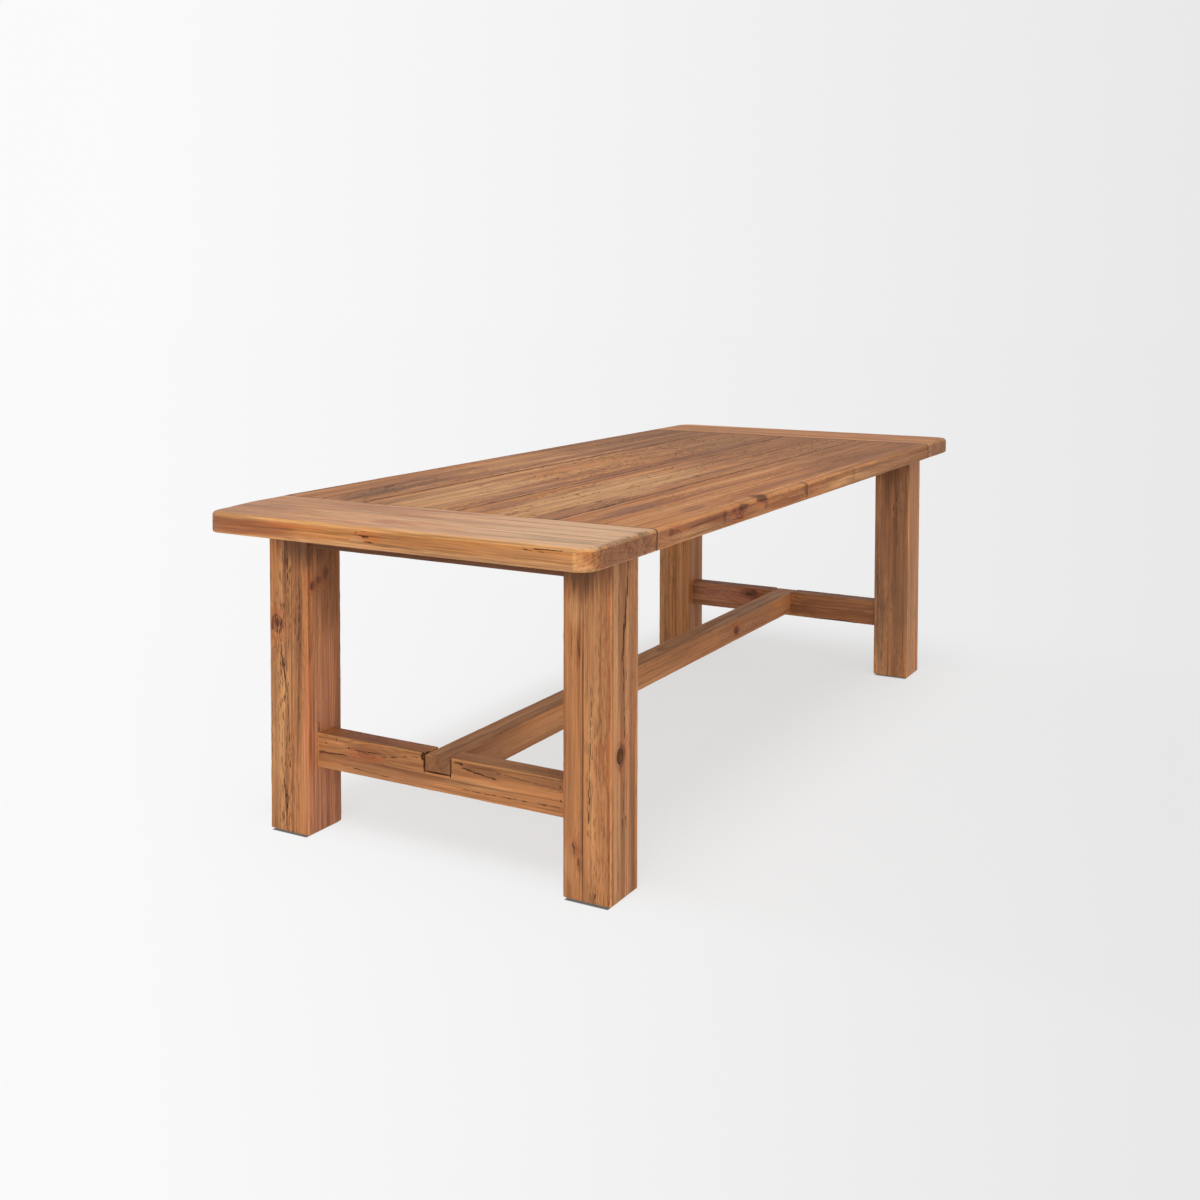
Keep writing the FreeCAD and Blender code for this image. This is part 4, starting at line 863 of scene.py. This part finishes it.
fittingLooks = {
    "beechPins": {
        "paint": tone(206, 170, 124), "stain": tone(178, 136, 92), "mottle": 60,
        "scratch": (900, 900, 25), "scratchPaint": 0.5, "roughness": 0.6, "metal": 0.0,
        "nodes": ("leg_dowels_", "tongue_pegs_"),
    },
    "birchPly": {
        "paint": tone(214, 184, 140), "stain": tone(180, 140, 98), "mottle": 25,
        "scratch": (12, 12, 1500), "scratchPaint": 0.7, "roughness": 0.65, "metal": 0.0,
        "nodes": ("spline_",),
    },
    "zincPlate": {
        "paint": tone(176, 178, 180), "stain": tone(140, 142, 146), "mottle": 260,
        "scratch": (1200, 1200, 90), "scratchPaint": 0.25, "roughness": 0.38, "metal": 1.0,
        "nodes": ("apron_bolts_", "apron_washers_", "coach_screw_", "coach_washer_"),
    },
    "blackScrews": {
        "paint": tone(40, 38, 37), "stain": tone(26, 25, 25), "mottle": 300,
        "scratch": (1500, 1500, 120), "scratchPaint": 0.5, "roughness": 0.45, "metal": 0.6,
        "nodes": ("batten_screws_", "bearer_screws_"),
    },
    "brassInserts": {
        "paint": tone(190, 150, 82), "stain": tone(150, 112, 58), "mottle": 280,
        "scratch": (1200, 1200, 90), "scratchPaint": 0.3, "roughness": 0.35, "metal": 1.0,
        "nodes": ("threaded_inserts_",),
    },
    "glidePlastic": {
        "paint": tone(70, 58, 48), "stain": tone(48, 40, 34), "mottle": 160,
        "scratch": (500, 500, 500), "scratchPaint": 0.4, "roughness": 0.6, "metal": 0.0,
        "nodes": ("foot_glide_",),
    },
}
for name, look in fittingLooks.items():
    material = fittingMaterial(name, look)
    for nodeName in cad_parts:
        if nodeName.startswith(look["nodes"]):
            paintNode(nodeName, material)
print("hidden rails and fittings painted")


# Room, light and camera.

# solved from the photograph's straight edges; degrees and millimetres of lens
fitted = {"place": (-3.44488, -1.81057, 1.23467), "yaw": 28.236, "pitch": -2.4975, "roll": 0.186,
          "lens": 42.156, "shift": (-0.0334, -0.2029)}
roomTones = {"left": tone(250, 250, 250), "right": tone(233, 233, 233)}


def roomToneAt(tree, direction):
    # the backdrop falls off slightly from left to right
    flat = vectorCalc(tree, "NORMALIZE", vectorCalc(tree, "MULTIPLY", direction, (1, 1, 0)))
    rightHand = (0.4731, -0.8810, 0.0)
    side = vectorCalc(tree, "DOT_PRODUCT", flat, rightHand)
    share = addNode(tree, "MapRange", {"Value": side, "From Min": -0.35, "From Max": 0.36}).outputs[0]
    return mixPaint(tree, share, roomTones["left"], roomTones["right"])


def seenDirectly(tree):
    rays = addNode(tree, "LightPath").outputs
    mirrored = calc(tree, "MAXIMUM", rays["Is Glossy Ray"], rays["Is Transmission Ray"])
    return calc(tree, "MAXIMUM", rays["Is Camera Ray"], mirrored)


# the floor's shadow: its strength, and where along and across the table it fades out
shadowShare = 0.29
shadowFade = {"nearEnd": (-1.04, -0.84), "farEnd": (1.75, 1.10), "leftSide": (0.64, 0.44)}
# a painted contact shadow round the feet: where it lies, how strong it is and its colour
footPaintedShadow = {"shift": (0.004, 0.0, 0.0), "slimmer": 0.0045, "edge": (0.0570, 0.0545), "strength": 0.9,
            "paint": tone(52, 46, 42)}


def makeFloor():
    bpy.ops.mesh.primitive_plane_add(size=80)
    floor = bpy.context.active_object
    floor.name = "floor"
    material, tree, place = startMaterial("paleFloor")
    paint = roomToneAt(tree, vectorCalc(tree, "SUBTRACT", place, (*fitted["place"][:2], 0.0)))
    lit = addNode(tree, "BsdfDiffuse", {"Color": paint}).outputs[0]
    # painted contact shadow: a thin dark line painted on the floor round the feet, mostly on their near
    # side
    footPlace = vectorCalc(tree, "ABSOLUTE", vectorCalc(tree, "ADD", place, footPaintedShadow["shift"]))
    footPlace = vectorCalc(tree, "SUBTRACT", footPlace, (legPlaces["far"], legPlaces["left"], 0.0))
    sides = addNode(tree, "SeparateXYZ", {0: vectorCalc(tree, "ABSOLUTE", footPlace)}).outputs
    outermost = calc(tree, "MAXIMUM", sides[0], calc(tree, "ADD", sides[1], footPaintedShadow["slimmer"]))
    underFootShadow = calc(tree, "MULTIPLY", ease(tree, outermost, *footPaintedShadow["edge"]), footPaintedShadow["strength"])
    footShadowed = mixPaint(tree, underFootShadow, paint, footPaintedShadow["paint"])
    glow = addNode(tree, "Emission", {"Color": footShadowed}).outputs[0]
    spots = addNode(tree, "SeparateXYZ", {0: place}).outputs
    lengthwise = calc(tree, "MULTIPLY", ease(tree, spots[0], *shadowFade["nearEnd"]),
                      ease(tree, spots[0], *shadowFade["farEnd"]))
    underTop = calc(tree, "MULTIPLY", lengthwise, ease(tree, spots[1], *shadowFade["leftSide"]))
    share = calc(tree, "MULTIPLY", calc(tree, "MULTIPLY_ADD", underTop, 0.75, 0.25), shadowShare)
    even = addNode(tree, "MixShader", {0: share, 1: glow, 2: lit}).outputs[0]
    shader = addNode(tree, "MixShader", {0: seenDirectly(tree), 1: lit, 2: even}).outputs[0]
    addNode(tree, "OutputMaterial", {"Surface": shader})
    floor.data.materials.append(material)


ambientStrength = 0.38


def makeRoom():
    world = bpy.data.worlds.new("paleRoom")
    bpy.context.scene.world = world
    world.use_nodes = True
    tree = world.node_tree
    tree.nodes.clear()
    paint = roomToneAt(tree, addNode(tree, "TexCoord").outputs["Generated"])
    glow = addNode(tree, "Background", {"Color": (1, 1, 1, 1), "Strength": ambientStrength}).outputs[0]
    back = addNode(tree, "Background", {"Color": paint, "Strength": 1.0}).outputs[0]
    shader = addNode(tree, "MixShader", {0: seenDirectly(tree), 1: glow, 2: back}).outputs[0]
    addNode(tree, "OutputWorld", {"Surface": shader})


def addSoftLight(name, strength, spread, direction):
    light = bpy.data.lights.new(name, "SUN")
    light.energy = strength
    light.angle = math.radians(spread)
    lamp = bpy.data.objects.new(name, light)
    lamp.rotation_mode = "QUATERNION"
    lamp.rotation_quaternion = Vector(direction).to_track_quat("-Z", "Y")
    bpy.context.scene.collection.objects.link(lamp)


def makeCamera():
    yaw, pitch, roll = (math.radians(fitted[name]) for name in ("yaw", "pitch", "roll"))
    forward = Vector((math.cos(pitch) * math.cos(yaw), math.cos(pitch) * math.sin(yaw), math.sin(pitch)))
    level = forward.cross(Vector((0, 0, 1))).normalized()
    up = level.cross(forward)
    right = math.cos(roll) * level + math.sin(roll) * up
    upright = math.cos(roll) * up - math.sin(roll) * level
    data = bpy.data.cameras.new("photoCamera")
    data.sensor_width, data.lens, data.clip_end = 36, fitted["lens"], 200
    data.shift_x, data.shift_y = fitted["shift"]
    camera = bpy.data.objects.new("photoCamera", data)
    turned = Matrix((right, upright, -forward)).transposed().to_4x4()
    camera.matrix_world = Matrix.Translation(fitted["place"]) @ turned
    bpy.context.scene.collection.objects.link(camera)
    bpy.context.scene.camera = camera


makeFloor()
makeRoom()
addSoftLight("overheadSoftbox", 1.28, 36, (0.20, 0.10, -1))
addSoftLight("nearEndSoftbox", 1.12, 32, (0.88, 0.30, -0.30))
addSoftLight("rightSideFill", 0.92, 50, (0.25, 0.95, -0.20))
makeCamera()
bpy.context.scene.view_settings.view_transform = "Standard"
print("room, light and camera made")
